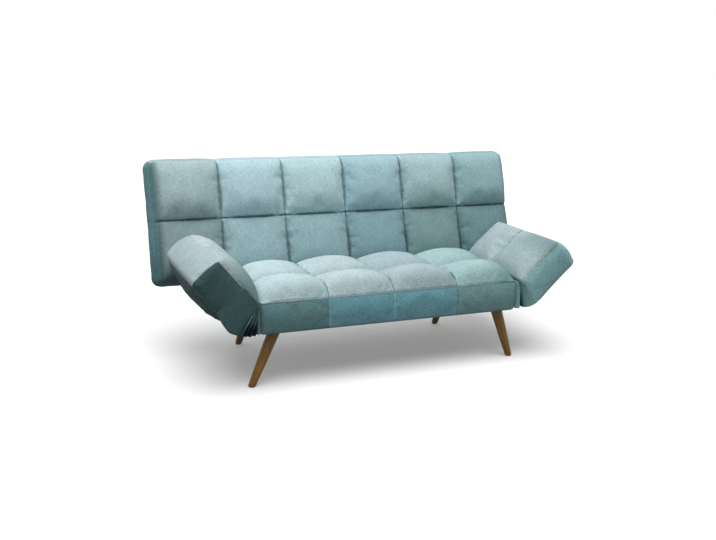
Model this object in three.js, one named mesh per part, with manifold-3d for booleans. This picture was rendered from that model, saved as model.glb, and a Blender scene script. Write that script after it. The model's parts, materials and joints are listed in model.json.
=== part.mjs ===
// Click-clack sofa bed: a quilted seat on four splayed legs, a quilted back that tilts
// down level with the seat, and two quilted arms that tilt down level with it too.
// Millimetres, +X to the right of someone who looks at the front, -Y to the front, +Z up.
import * as THREE from "three";
import Module from "manifold-3d";

const wasm = await Module();
wasm.setup();

// Clearances
const touch = 0.3; // between two pieces that meet
const run = 0.35; // round a pin that turns
const overrun = 5; // how far a cutting tool passes a surface
const pocketRoom = 1.2; // round a fitting that lies in foam

// Seat
const seatWidth = 1208;
const seatDepth = 505;
const seatFloor = 241; // floor to underside
const seatEdge = 137; // height of the boxing, up to its top seam
const seatSwell = 45; // crossings of the sewn channels above the top seam
const seatCrown = 24; // middle of a square above its channels
const seatColumns = 4;
const seatFrontRowShare = 0.43;

// Back
const backWidth = 1818;
const backHeight = 559;
const backEdge = 112; // rear face to the seam round the front
const backSwell = 26;
const backCrown = 31;
const backColumns = 6;
const backLowerRowShare = 0.506;
const backBulge = 16; // ends and top
const backCorner = 16;
const backRecline = 16; // degrees from upright

// Arms
const armLength = 258; // hinge side to outer side
const armOverhang = 28; // front of the arm ahead of the front of the seat
const armRearOverhang = 3; // rear of the arm behind the rear of the seat
const armEdge = 154;
const armUnder = 14; // padding under the arm board
const armSag = 30; // how far the cloth under that padding hangs at its middle
const armBulge = 12; // outer side
const armSwell = 14;
const armCrown = 18;
const armRises = { left: 51, right: 43 }; // degrees above level
const armFrontRowShare = 0.55;

// Quilting shared by all the cushions
const padCorner = 22; // corner radius seen from above
const padBulge = 8; // how far free sides swell between their seams
const padDrawIn = 5; // how far free sides pull in between their corners
const rollOver = 95; // width over which the top rises from its seam
const backRollOver = 80;
const channelPower = 2.6; // steepness of the sewn channels
const bulgePower = 0.6; // fullness of the swollen sides
const stitchShares = [0, 0.08, 0.26, 0.5, 0.74, 0.92];
const wallShares = [0.05, 0.16, 0.34, 0.6, 0.84, 0.96];

// Back pivot, measured in the plane of the back
const pivotUp = 40.5; // above the bottom edge of the back
const pivotIn = 42.5; // behind the plane of the front channels
const pivotBehindSeat = 68.5; // behind the rear wall of the seat
const pivotAboveSeatFloor = 141.5;

// Arm pivot
const armPivotGap = 9; // from each cushion wall to the pivot
const armSeamAbovePivot = 7;

// Timber
const railThick = 28;
const railHigh = 45;
const skirtEnd = 8; // foam between the frame and the end and rear walls
const skirtFront = 24;
const slatCount = 5;
const slatWide = 72;
const slatThick = 8;
const backSkirt = 25;
const backFrameFront = 44; // front of the back frame, behind the pivot
const backFrameDeep = 40;
const backRailHigh = 40;
const backStileWide = 28;
const hingeStileGap = 0.3;
const webbingWide = 70;
const webbingThick = 2;
const coverThick = 3;
const clothThick = 1.2;
const boardThick = 18;

// Legs
const legTopRadius = 26;
const legFootRadius = 15.5;
const legWaistShare = 0.55;
const legWaistRadius = 21;
const frontLegIn = 70; // top of the leg in from the end wall
const frontLegBack = 44; // top of the leg behind the front of the seat
const frontLegSplayOut = 94;
const frontLegSplayBack = 18;
const rearLegIn = 94;
const rearLegFromRear = 19; // top of the leg ahead of the rear of the seat
const rearLegSplayOut = 20;
const rearLegSplayBack = 154;
const glideRadius = 12;
const glideThick = 4;
const glideStemRadius = 2.6;
const glideStemLong = 12;
const plateWide = 96;
const plateDeep = 60;
const plateThick = 3;
const studRadius = 4;
const studLong = 42;

// Click-clack hinge
const hingePlate = 6; // seat bracket
const backPlate = 5; // back bracket
const bracketFootHigh = 30;
const bracketFootUp = 10; // above the underside of the seat
const bracketFootLong = 101; // that part of it that lies along the side rail
const bracketStem = 34;
const discRadius = 26;
const notchRadius = 5.6;
const halfWayRecline = 45; // degrees from upright, as is the next
const flatRecline = 90;
const pivotBoltRadius = 5;
const boltHeadRadius = 9;
const boltHeadThick = 5;
const boltHeadSides = 6;
const backEye = 19;
const flangeLow = 76; // above the pivot
const flangeHigh = 190;
const neckHalf = 13;
const flangeRear = 78; // behind the pivot
const flangeFront = 18;
const pawlThick = 5;
const pawlNose = 5;
const pawlEye = 8;
const pawlPinRadius = 3;
const pawlNoseGap = 0.4;
const pawlNoseTilt = 14.5; // degrees ahead of the line of the back
const pawlPinUp = 47;
const pawlPinIn = 14; // behind the pivot
const pawlTailIn = 24;
const pawlTailUp = 56;
const slotHalf = 15;
const slotFront = 29; // ahead of the pivot
const slotHigh = 66; // above the pivot

// Arm hinges
const leafWide = 44;
const leafThick = 4;
const leafStandOff = 12.7; // from the pivot to the near face of a leaf
const leafShort = 8; // top of a leaf below the pivot
const knuckle = 8;
const rodRadius = 4.2;
const rodProud = 4;
const leafFoot = 58;
const leafFootThick = 3;
const leafEndUp = 7; // end of the seat leaf above the bottom of the side rail
const hingeShares = [0.16, 0.84]; // along the seat, from its front

// Gussets
const gussetThick = 2.4;
const gussetInset = 30; // behind the fronts of the seat and the arm
const gussetGap = 0.6;
const gussetTop = 7; // below the pivot
const gussetHigh = 118;
const gussetSag = 12;
const gussetFold = 7;
const gussetFoldCounts = { left: 4.5, right: 2.5 };
const gussetSteps = 26;
const gussetRise = 6;

// Fineness of round pieces, and how near two corners must be to count as one
const roundSides = 20;
const smallSides = 12;
const legSides = 18;
const weld = 1e-4;

// Sizes worked out from the ones above
const radians = THREE.MathUtils.degToRad;
const halfSeat = seatWidth / 2;
const armPivotX = halfSeat + armPivotGap;
const armPivotZ = seatFloor + seatEdge - armSeamAbovePivot;
const backPivotY = seatDepth + pivotBehindSeat;
const backPivotZ = seatFloor + pivotAboveSeatFloor;
const backDeep = backEdge + backSwell;
const backRear = backDeep - pivotIn; // rear face, behind the pivot
const backTop = backHeight - pivotUp; // top edge, above the pivot
const armDepth = seatDepth + armOverhang + armRearOverhang;
const rearLegBack = seatDepth - rearLegFromRear;
const railOuter = halfSeat - skirtEnd;
const railInner = railOuter - railThick;
const railFront = skirtFront;
const railRear = seatDepth - skirtEnd;
const railLow = seatFloor + plateThick + touch;
const railTop = railLow + railHigh;
const slatTop = railTop + touch + slatThick;
const bracketOuter = railInner - touch;
const bracketInner = bracketOuter - hingePlate;
const backPlateOuter = bracketInner - touch;
const backPlateInner = backPlateOuter - backPlate;
const hingeStileInner = backPlateOuter + hingeStileGap;
const recline = radians(backRecline);
const notchAngles = [backRecline, halfWayRecline, flatRecline].map(
  (stop) => flatRecline - stop + pawlNoseTilt,
);
const frontExtent = armOverhang + padBulge;
const rearExtent =
  backPivotY + backTop * Math.sin(recline) + backRear * Math.cos(recline);
const centreY = (rearExtent - frontExtent) / 2;

// Finishes
function finish(color, roughness, metalness = 0) {
  return new THREE.MeshStandardMaterial({ color, roughness, metalness });
}
const weave = finish(0x7fa9ae, 0.95);
const paleWeave = finish(0xa9bdbf, 0.95);
const darkWeave = finish(0x3f6a70, 0.95);
const timber = finish(0xc8a878, 0.8);
const walnut = finish(0x6b4526, 0.45);
const steel = finish(0x55585c, 0.4, 0.9);
const nylon = finish(0x1d1d1f, 0.6);
const blackCloth = finish(0x1a1b1d, 1);

// Solids
function solidOf(geometry) {
  const position = geometry.getAttribute("position");
  const index = geometry.index;
  const places = new Map();
  const vertices = [];
  const triangles = [];
  const count = index ? index.count : position.count;
  for (let i = 0; i < count; i++) {
    const v = index ? index.getX(i) : i;
    const point = [position.getX(v), position.getY(v), position.getZ(v)];
    const key = point.map((c) => Math.round(c / weld)).join();
    if (!places.has(key)) {
      places.set(key, vertices.length / point.length);
      vertices.push(...point);
    }
    triangles.push(places.get(key));
  }
  const kept = [];
  for (let i = 0; i < triangles.length; i += 3) {
    const [a, b, c] = triangles.slice(i, i + 3);
    if (a !== b && b !== c && c !== a) kept.push(a, b, c);
  }
  return new wasm.Manifold(
    new wasm.Mesh({
      numProp: 3,
      vertProperties: new Float32Array(vertices),
      triVerts: new Uint32Array(kept),
    }),
  );
}

function meshOf(name, solid, material) {
  const { numProp, vertProperties, triVerts } = solid.getMesh();
  const geometry = new THREE.BufferGeometry();
  geometry.setAttribute("position", new THREE.BufferAttribute(vertProperties, numProp));
  geometry.setIndex(new THREE.BufferAttribute(triVerts, 1));
  geometry.computeVertexNormals();
  const mesh = new THREE.Mesh(geometry, material);
  mesh.name = name;
  return mesh;
}

function block([x0, x1], [y0, y1], [z0, z1]) {
  const geometry = new THREE.BoxGeometry(x1 - x0, y1 - y0, z1 - z0);
  geometry.translate((x0 + x1) / 2, (y0 + y1) / 2, (z0 + z1) / 2);
  return solidOf(geometry);
}

function rod(radius, from, to, sides = roundSides) {
  const start = new THREE.Vector3(...from);
  const along = new THREE.Vector3(...to).sub(start);
  const geometry = new THREE.CylinderGeometry(radius, radius, along.length(), sides);
  geometry.translate(0, along.length() / 2, 0);
  const up = new THREE.Vector3(0, 1, 0);
  const turn = new THREE.Quaternion().setFromUnitVectors(up, along.clone().normalize());
  geometry.applyQuaternion(turn);
  geometry.translate(...start.toArray());
  return solidOf(geometry);
}

// A flat plate whose outline is drawn in Y and Z, from x0 to x1
function sidePlate(outline, x0, x1) {
  const geometry = new THREE.ExtrudeGeometry(outline, {
    depth: x1 - x0,
    bevelEnabled: false,
    curveSegments: smallSides,
  });
  geometry.rotateX(Math.PI / 2);
  geometry.rotateZ(Math.PI / 2);
  geometry.translate(x0, 0, 0);
  return solidOf(geometry);
}

// A strip whose outline is drawn in X and Z, from y0 to y1
function crossPlate(outline, y0, y1) {
  const geometry = new THREE.ExtrudeGeometry(outline, {
    depth: y1 - y0,
    bevelEnabled: false,
    curveSegments: smallSides,
  });
  geometry.rotateX(Math.PI / 2);
  geometry.translate(0, y1, 0);
  return solidOf(geometry);
}

function outlineOf(points) {
  return new THREE.Shape(points.map(([a, b]) => new THREE.Vector2(a, b)));
}

// Quilted cushions
function gridLines(bounds, fineness) {
  const lines = [];
  for (let i = 0; i < bounds.length - 1; i++) {
    for (const share of fineness) {
      lines.push({ at: THREE.MathUtils.lerp(bounds[i], bounds[i + 1], share), share });
    }
  }
  lines.push({ at: bounds[bounds.length - 1], share: 0 });
  return lines;
}

// The top rises from its seam over a band of this width
function rise(distance, band) {
  const left = 1 - Math.min(distance / band, 1);
  return 1 - left * left;
}

function swellOf(share) {
  return 1 - Math.abs(2 * share - 1) ** channelPower;
}

// A cushion with its base at Z = 0, centred in X and Y. columnBounds and rowBounds are
// the lines of the sewn channels, with both edges. bulges are for -X, +X, -Y and +Y, and
// sag is how far the middle of the underside hangs.
function quiltedPad(pad) {
  const { columnBounds, rowBounds, edge, swell, crown, band, corner, bulges, drawIn, sag } = pad;
  const xs = gridLines(columnBounds, stitchShares);
  const ys = gridLines(rowBounds, stitchShares);
  const halfX = columnBounds[columnBounds.length - 1];
  const halfY = rowBounds[rowBounds.length - 1];
  const position = [];
  for (const y of ys) {
    for (const x of xs) {
      const height =
        edge +
        swell * rise(halfX - Math.abs(x.at), band) * rise(halfY - Math.abs(y.at), band) +
        crown * swellOf(x.share) * swellOf(y.share);
      const [px, py] = roundCorner(x.at, y.at, halfX, halfY, corner);
      const pulledX = 1 - (drawIn[0] / halfX) * (1 - (y.at / halfY) ** 2);
      const pulledY = 1 - (drawIn[1] / halfY) * (1 - (x.at / halfX) ** 2);
      position.push(px * pulledX, py * pulledY, height);
    }
  }
  const index = [];
  const across = xs.length;
  for (let j = 0; j < ys.length - 1; j++) {
    for (let i = 0; i < across - 1; i++) {
      const a = j * across + i;
      index.push(a, a + 1, a + across + 1, a, a + across + 1, a + across);
    }
  }
  const loop = rimOf(across, ys.length);
  let last = loop;
  for (const share of [...wallShares, 1]) {
    const ring = [];
    loop.forEach((v, i) => {
      const before = loop[(i + loop.length - 1) % loop.length];
      const after = loop[(i + 1) % loop.length];
      const dx = position[3 * after] - position[3 * before];
      const dy = position[3 * after + 1] - position[3 * before + 1];
      const long = Math.hypot(dx, dy);
      const out = [dy / long, -dx / long];
      const bulge =
        out[0] ** 2 * (out[0] < 0 ? bulges[0] : bulges[1]) +
        out[1] ** 2 * (out[1] < 0 ? bulges[2] : bulges[3]);
      const proud = bulge * Math.sin(Math.PI * share) ** bulgePower;
      ring.push(position.length / 3);
      position.push(
        position[3 * v] + out[0] * proud,
        position[3 * v + 1] + out[1] * proud,
        edge * (1 - share),
      );
    });
    ring.forEach((v, i) => {
      const next = (i + 1) % ring.length;
      index.push(last[i], v, ring[next], last[i], ring[next], last[next]);
    });
    last = ring;
  }
  if (sag > 0) {
    const lower = new Map(loop.map((v, i) => [v, last[i]]));
    for (const [j, y] of ys.entries()) {
      for (const [i, x] of xs.entries()) {
        const v = j * across + i;
        if (lower.has(v)) continue;
        lower.set(v, position.length / 3);
        const hang = rise(halfX - Math.abs(x.at), halfX) * rise(halfY - Math.abs(y.at), halfY);
        position.push(position[3 * v], position[3 * v + 1], -sag * hang);
      }
    }
    for (let j = 0; j < ys.length - 1; j++) {
      for (let i = 0; i < across - 1; i++) {
        const [a, b, c, d] = [0, 1, across, across + 1].map((k) => lower.get(j * across + i + k));
        index.push(a, c, d, a, d, b);
      }
    }
  } else {
    const middle = position.length / 3;
    position.push(0, 0, 0);
    last.forEach((v, i) => index.push(v, middle, last[(i + 1) % last.length]));
  }
  const geometry = new THREE.BufferGeometry();
  geometry.setAttribute("position", new THREE.Float32BufferAttribute(position, 3));
  geometry.setIndex(index);
  return geometry;
}

// The rim of a grid of vertices, counter-clockwise
function rimOf(across, along) {
  const rim = [];
  for (let i = 0; i < across - 1; i++) rim.push(i);
  for (let j = 0; j < along - 1; j++) rim.push(j * across + across - 1);
  for (let i = across - 1; i > 0; i--) rim.push((along - 1) * across + i);
  for (let j = along - 1; j > 0; j--) rim.push(j * across);
  return rim;
}

// Draws the square corner of a rectangle round to a corner radius
function roundCorner(x, y, halfX, halfY, corner) {
  const a = (Math.abs(x) - halfX + corner) / corner;
  const b = (Math.abs(y) - halfY + corner) / corner;
  if (a <= 0 || b <= 0) return [x, y];
  const u = a * Math.sqrt(1 - (b * b) / 2);
  const v = b * Math.sqrt(1 - (a * a) / 2);
  return [
    Math.sign(x) * (halfX - corner + u * corner),
    Math.sign(y) * (halfY - corner + v * corner),
  ];
}

function evenBounds(size, count) {
  return Array.from({ length: count + 1 }, (_, i) => (size * i) / count - size / 2);
}

function splitBounds(size, lowShare) {
  return [-size / 2, size * (lowShare - 0.5), size / 2];
}

// Legs
const legs = [
  { name: "front_left", side: -1, front: true },
  { name: "front_right", side: 1, front: true },
  { name: "rear_left", side: -1, front: false },
  { name: "rear_right", side: 1, front: false },
];

function legPlace({ side, front }) {
  const inward = front ? frontLegIn : rearLegIn;
  const back = front ? frontLegBack : rearLegBack;
  const out = front ? frontLegSplayOut : rearLegSplayOut;
  const splayBack = front ? frontLegSplayBack : rearLegSplayBack;
  return {
    top: new THREE.Vector3(side * (halfSeat - inward), back, seatFloor - touch),
    slope: new THREE.Vector3(side * out, splayBack, -seatFloor).normalize(),
  };
}

// In a frame whose origin is the middle of the top of the leg
function legSolid(place) {
  const { top, slope } = place;
  const rise = top.z - glideThick - touch;
  const long = rise / -slope.z;
  const past = legTopRadius;
  const waist = long * legWaistShare;
  const profile = [
    [0, -past],
    [legTopRadius, -past],
    [legTopRadius, 0],
    [legWaistRadius, waist],
    [legFootRadius, long],
    [legFootRadius, long + past],
    [0, long + past],
  ].map(([radius, down]) => new THREE.Vector2(radius, down));
  const turned = new THREE.LatheGeometry(profile, legSides);
  const down = new THREE.Vector3(0, 1, 0);
  turned.applyQuaternion(new THREE.Quaternion().setFromUnitVectors(down, slope));
  const reach = [-seatWidth, seatWidth];
  const foot = slope.clone().multiplyScalar(long);
  return solidOf(turned)
    .intersect(block(reach, reach, [-rise, 0]))
    .subtract(studSolid(slope, run))
    .subtract(
      rod(
        glideStemRadius + run,
        [foot.x, foot.y, -rise - overrun],
        [foot.x, foot.y, -rise + glideStemLong + touch],
        smallSides,
      ),
    );
}

// The stud lies along the leg and starts inside the plate
function studSolid(slope, room) {
  const start = slope.clone().multiplyScalar(-studRadius - room);
  const end = slope.clone().multiplyScalar(studLong + room);
  return rod(studRadius + room, start.toArray(), end.toArray(), smallSides);
}

function addLeg(group, leg) {
  const place = legPlace(leg);
  const { top, slope } = place;
  const body = meshOf(leg.name + "_leg", legSolid(place), walnut);
  body.position.copy(top);
  group.add(body);
  group.add(legPlate(leg, place));
  const down = top.z - glideThick - touch;
  const glide = rod(glideRadius, [0, 0, 0], [0, 0, glideThick]).add(
    rod(glideStemRadius, [0, 0, 0], [0, 0, glideThick + glideStemLong], smallSides),
  );
  const pad = meshOf(leg.name + "_glide", glide, nylon);
  const out = down / -slope.z;
  pad.position.set(top.x + slope.x * out, top.y + slope.y * out, 0);
  group.add(pad);
}

// A steel plate under the corner of the frame, with its stud
function legPlate(leg, { top, slope }) {
  const { side, front } = leg;
  const outer = side * (railOuter - touch);
  const inner = outer - side * plateWide;
  const near = front ? railFront + touch : railRear - touch - plateDeep;
  const flat = block(
    [Math.min(outer, inner), Math.max(outer, inner)],
    [near, near + plateDeep],
    [seatFloor, seatFloor + plateThick],
  );
  const stud = meshOf("stud", studSolid(slope, 0), steel).geometry;
  stud.translate(top.x, top.y, top.z);
  const belowRail = block(
    [-seatWidth, seatWidth],
    [-seatDepth, 2 * seatDepth],
    [0, seatFloor + plateThick],
  );
  return meshOf(leg.name + "_leg_plate", flat.add(solidOf(stud).intersect(belowRail)), steel);
}

// Seat frame
function addSeatFrame(group) {
  const high = [railLow, railTop];
  const front = [railFront, railFront + railThick];
  const rear = [railRear - railThick, railRear];
  const between = railInner - touch;
  const betweenBrackets = bracketInner - touch;
  group.add(
    meshOf("seat_front_rail", block([-between, between], front, high), timber),
    meshOf("seat_rear_rail", block([-betweenBrackets, betweenBrackets], rear, high), timber),
    meshOf("seat_left_rail", block([-railOuter, -railInner], [railFront, railRear], high), timber),
    meshOf("seat_right_rail", block([railInner, railOuter], [railFront, railRear], high), timber),
  );
  const step = (2 * between) / slatCount;
  for (let i = 0; i < slatCount; i++) {
    const middle = step * (i + 0.5) - between;
    const slat = block(
      [middle - slatWide / 2, middle + slatWide / 2],
      [railFront, railRear],
      [railTop + touch, slatTop],
    );
    group.add(meshOf("seat_slat_" + (i + 1), slat, timber));
  }
}

function seatBaseCloth() {
  const high = [railLow - touch - clothThick, railLow - touch];
  let cloth = block([-railOuter, railOuter], [railFront, railRear], high);
  for (const side of [-1, 1]) {
    const near = side * (railOuter - plateWide - 2 * touch);
    const far = side * (railOuter + overrun);
    const wide = [Math.min(near, far), Math.max(near, far)];
    const deep = plateDeep + 2 * touch;
    const tall = [seatFloor - overrun, railLow + overrun];
    cloth = cloth
      .subtract(block(wide, [railFront - overrun, railFront + deep], tall))
      .subtract(block(wide, [railRear - deep, railRear + overrun], tall));
  }
  return meshOf("seat_base_cloth", cloth, blackCloth);
}

function hingeMiddles() {
  return hingeShares.map((share) => share * seatDepth);
}

function seatCushion() {
  const geometry = quiltedPad({
    columnBounds: evenBounds(seatWidth, seatColumns),
    rowBounds: splitBounds(seatDepth, seatFrontRowShare),
    edge: seatEdge,
    swell: seatSwell,
    crown: seatCrown,
    band: rollOver,
    corner: padCorner,
    bulges: [0, 0, padBulge, 0],
    drawIn: [0, 0],
    sag: 0,
  });
  geometry.translate(0, seatDepth / 2, seatFloor);
  const low = seatFloor - overrun;
  const hollow = block(
    [-railOuter - touch, railOuter + touch],
    [railFront - touch, railRear + touch],
    [low, slatTop + touch],
  );
  let cushion = solidOf(geometry).subtract(hollow);
  for (const side of [-1, 1]) {
    const wall = side * (railOuter - overrun);
    const outside = side * (halfSeat + overrun);
    for (const middle of hingeMiddles()) {
      const half = leafWide / 2 + pocketRoom;
      const pocket = block(
        [Math.min(wall, outside), Math.max(wall, outside)],
        [middle - half, middle + half],
        [low, armPivotZ + pocketRoom / 2],
      );
      cushion = cushion.subtract(pocket);
    }
    const inner = side * (bracketInner - pocketRoom);
    const outer = side * (bracketOuter + pocketRoom);
    const foot = seatFloor + bracketFootUp;
    const slot = block(
      [Math.min(inner, outer), Math.max(inner, outer)],
      [railRear - overrun, seatDepth + overrun],
      [low, foot + bracketFootHigh + pocketRoom],
    );
    cushion = cushion.subtract(slot);
  }
  return meshOf("seat_cushion", cushion, weave);
}

// Click-clack hinge: the seat bracket ends in a notched disc round the pivot
function seatBracket(side) {
  const foot = seatFloor + bracketFootUp;
  const rear = backPivotY + bracketStem / 2;
  const outline = outlineOf([
    [railRear - bracketFootLong, foot],
    [rear - bracketStem / 4, foot],
    [rear, foot + bracketStem / 4],
    [rear, backPivotZ],
    [rear - bracketStem, backPivotZ],
    [rear - bracketStem, foot + bracketFootHigh],
    [railRear - bracketFootLong, foot + bracketFootHigh],
  ]);
  const edges = [side * bracketInner, side * bracketOuter].sort((a, b) => a - b);
  let bracket = sidePlate(outline, ...edges).add(
    rod(discRadius, [edges[0], backPivotY, backPivotZ], [edges[1], backPivotY, backPivotZ]),
  );
  for (const angle of notchAngles) {
    const y = backPivotY + discRadius * Math.cos(radians(angle));
    const z = backPivotZ + discRadius * Math.sin(radians(angle));
    const from = [edges[0] - overrun, y, z];
    const to = [edges[1] + overrun, y, z];
    bracket = bracket.subtract(rod(notchRadius, from, to, smallSides));
  }
  return meshOf(sideName(side) + "_seat_bracket", bracket.subtract(pivotBore(edges)), steel);
}

function pivotBore(edges) {
  return rod(
    pivotBoltRadius + run,
    [edges[0] - overrun, backPivotY, backPivotZ],
    [edges[1] + overrun, backPivotY, backPivotZ],
  );
}

function pivotBolt(side) {
  const at = (x) => [side * x, backPivotY, backPivotZ];
  const head = backPlateInner - touch;
  const nut = bracketOuter + touch;
  const bolt = rod(pivotBoltRadius, at(head - boltHeadThick), at(nut + boltHeadThick))
    .add(rod(boltHeadRadius, at(head - boltHeadThick), at(head), boltHeadSides))
    .add(rod(boltHeadRadius, at(nut), at(nut + boltHeadThick), boltHeadSides));
  return meshOf(sideName(side) + "_pivot_bolt", bolt, steel);
}

function sideName(side) {
  return side < 0 ? "left" : "right";
}

// The back is drawn upright about its pivot: Y behind it, Z above it
function backCushion() {
  const geometry = quiltedPad({
    columnBounds: evenBounds(backWidth, backColumns),
    rowBounds: splitBounds(backHeight, backLowerRowShare),
    edge: backEdge,
    swell: backSwell,
    crown: backCrown,
    band: backRollOver,
    corner: backCorner,
    bulges: [backBulge, backBulge, padBulge, backBulge],
    drawIn: [padDrawIn, padDrawIn],
    sag: 0,
  });
  geometry.rotateX(Math.PI / 2);
  geometry.translate(0, backRear, backTop - backHeight / 2);
  const half = backWidth / 2 - backSkirt + touch;
  let cushion = solidOf(geometry).subtract(
    block(
      [-half, half],
      [backFrameFront - webbingThick - 2 * touch, backRear + overrun],
      [backFrameLow() - touch, backFrameTop() + touch],
    ),
  );
  for (const side of [-1, 1]) {
    const middle = (side * (backPlateInner + bracketOuter)) / 2;
    const wide = [middle - slotHalf, middle + slotHalf];
    const plates = [side * (backPlateInner - pocketRoom), side * (backPlateOuter + pocketRoom)];
    cushion = cushion
      .subtract(block(wide, [-slotFront, backRear + overrun], [-pivotUp - overrun, backFrameLow()]))
      .subtract(block(wide, [-slotFront, backFrameFront], [-pivotUp - overrun, slotHigh]))
      .subtract(
        block(
          plates.sort((a, b) => a - b),
          [-neckHalf - pocketRoom, backFrameFront],
          [0, flangeHigh + pocketRoom],
        ),
      );
  }
  return meshOf("back_cushion", cushion, weave);
}

function backFrameLow() {
  return discRadius + overrun;
}

function backFrameTop() {
  return backTop - backSkirt;
}

function addBackFrame(group) {
  const deep = [backFrameFront, backFrameFront + backFrameDeep];
  const low = backFrameLow();
  const top = backFrameTop();
  const outer = backWidth / 2 - backSkirt;
  const inner = outer - backStileWide;
  const between = [touch - inner, inner - touch];
  group.add(
    meshOf("back_top_rail", block(between, deep, [top - backRailHigh, top]), timber),
    meshOf("back_bottom_rail", block(between, deep, [low, low + backRailHigh]), timber),
  );
  for (const side of [-1, 1]) {
    const name = "back_" + sideName(side);
    const end = [side * inner, side * outer].sort((a, b) => a - b);
    const far = hingeStileInner + backStileWide;
    const hinge = [side * hingeStileInner, side * far].sort((a, b) => a - b);
    const tall = [low + backRailHigh + touch, top - backRailHigh - touch];
    const middle = (side * backWidth) / backColumns;
    const band = [middle - webbingWide / 2, middle + webbingWide / 2];
    const bandDeep = [backFrameFront - touch - webbingThick, backFrameFront - touch];
    group.add(
      meshOf(name + "_stile", block(end, deep, [low, top]), timber),
      meshOf(name + "_hinge_stile", block(hinge, deep, tall), timber),
      meshOf(name + "_webbing", block(band, bandDeep, [low, top]), blackCloth),
    );
  }
}

function backCover() {
  const half = backWidth / 2 - backSkirt;
  const front = backFrameFront + backFrameDeep + touch;
  const cover = block([-half, half], [front, front + coverThick], [backFrameLow(), backFrameTop()]);
  return meshOf("back_rear_cover", cover, darkWeave);
}

function backBracket(side) {
  const outline = outlineOf([
    [-neckHalf, 0],
    [neckHalf, 0],
    [neckHalf, flangeLow],
    [flangeRear, flangeLow + neckHalf],
    [flangeRear, flangeHigh],
    [flangeFront, flangeHigh],
    [-neckHalf, flangeLow + neckHalf],
  ]);
  const edges = [side * backPlateInner, side * backPlateOuter].sort((a, b) => a - b);
  const pin = [pawlPinIn, pawlPinUp];
  const bracket = sidePlate(outline, ...edges)
    .add(rod(backEye, [edges[0], 0, 0], [edges[1], 0, 0]))
    .add(rod(pawlEye, [edges[0], ...pin], [edges[1], ...pin]))
    .subtract(rod(pivotBoltRadius + run, [edges[0] - overrun, 0, 0], [edges[1] + overrun, 0, 0]))
    .subtract(
      rod(
        pawlPinRadius + run,
        [edges[0] - overrun, ...pin],
        [edges[1] + overrun, ...pin],
        smallSides,
      ),
    );
  return meshOf(sideName(side) + "_back_bracket", bracket, steel);
}

// The pawl turns on its own pin, so it has a frame of its own at that pin
function pawl(side) {
  const reach = discRadius + pawlNoseGap + pawlNose;
  const nose = [
    -reach * Math.sin(radians(pawlNoseTilt)) - pawlPinIn,
    reach * Math.cos(radians(pawlNoseTilt)) - pawlPinUp,
  ];
  const tail = [pawlTailIn - pawlPinIn, pawlTailUp - pawlPinUp];
  const x0 = side * bracketInner;
  const x1 = side * (bracketInner + pawlThick);
  const bar = (from, to, half) => {
    const along = new THREE.Vector2(to[0] - from[0], to[1] - from[1]).normalize();
    const [y, z] = [along.y * half, -along.x * half];
    return sidePlate(
      outlineOf([
        [from[0] - y, from[1] - z],
        [to[0] - y, to[1] - z],
        [to[0] + y, to[1] + z],
        [from[0] + y, from[1] + z],
      ]),
      Math.min(x0, x1),
      Math.max(x0, x1),
    );
  };
  const lever = bar(nose, [0, 0], pawlNose)
    .add(bar([0, 0], tail, pawlNose))
    .add(rod(pawlNose, [x0, ...nose], [x1, ...nose], smallSides))
    .add(rod(pawlNose, [x0, ...tail], [x1, ...tail], smallSides))
    .add(rod(pawlEye, [x0, 0, 0], [x1, 0, 0], smallSides))
    .subtract(
      rod(
        pawlPinRadius + run,
        [x0 - side * overrun, 0, 0],
        [x1 + side * overrun, 0, 0],
        smallSides,
      ),
    );
  return meshOf(sideName(side) + "_pawl", lever, steel);
}

function pawlPin(side) {
  const at = (x) => [side * x, pawlPinIn, pawlPinUp];
  const head = backPlateInner - touch;
  const shank = bracketInner + pawlThick + touch;
  const pin = rod(pawlPinRadius, at(head - pawlPinRadius), at(shank + pawlPinRadius), smallSides)
    .add(rod(pawlEye - pawlPinRadius, at(head - pawlPinRadius), at(head), smallSides))
    .add(rod(pawlEye - pawlPinRadius, at(shank), at(shank + pawlPinRadius), smallSides));
  return meshOf(sideName(side) + "_pawl_pin", pin, steel);
}

// Arm hinges. Both leaves are drawn about the pivot, with X away from the seat.
function leafOutline(length) {
  const outline = new THREE.Shape();
  const far = -leafStandOff - leafThick;
  outline.moveTo(far, -length);
  outline.lineTo(-leafStandOff, -length);
  outline.lineTo(-leafStandOff, -leafShort - leafThick);
  outline.absarc(0, 0, knuckle, -Math.PI / 2, Math.PI, false);
  outline.lineTo(far, leafThick - leafShort);
  outline.closePath();
  return outline;
}

// The leaf keeps its knuckles only where keep says: the middle third, or both ends
function leafSolid(length, middleOnly) {
  const half = leafWide / 2;
  const third = leafWide / 6;
  let leaf = crossPlate(leafOutline(length), -half, half);
  const room = knuckle + 2 * run;
  const clear = (y0, y1) => block([-room, room], [y0, y1], [-room, room]);
  if (middleOnly) {
    leaf = leaf
      .subtract(clear(-half - overrun, -third + touch))
      .subtract(clear(third - touch, half + overrun));
  } else {
    leaf = leaf.subtract(clear(-third, third));
  }
  const bore = rod(rodRadius + run, [0, -half - overrun, 0], [0, half + overrun, 0], smallSides);
  return leaf.subtract(bore);
}

function addSeatLeaves(group, side) {
  const length = armPivotZ - railLow - leafEndUp;
  hingeMiddles().forEach((middle, i) => {
    const name = sideName(side) + "_arm_seat_leaf_" + (i ? "rear" : "front");
    const leaf = meshOf(name, leafSolid(length, false), steel);
    leaf.position.set(side * armPivotX, middle, armPivotZ);
    leaf.scale.x = side;
    group.add(leaf);
  });
}

function hingeRod(side) {
  const [front, rear] = hingeMiddles();
  const past = leafWide / 2 + rodProud;
  const pin = rod(rodRadius, [0, front - past, 0], [0, rear + past, 0], smallSides);
  const mesh = meshOf(sideName(side) + "_arm_hinge_rod", pin, steel);
  mesh.position.set(side * armPivotX, 0, armPivotZ);
  return mesh;
}

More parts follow.
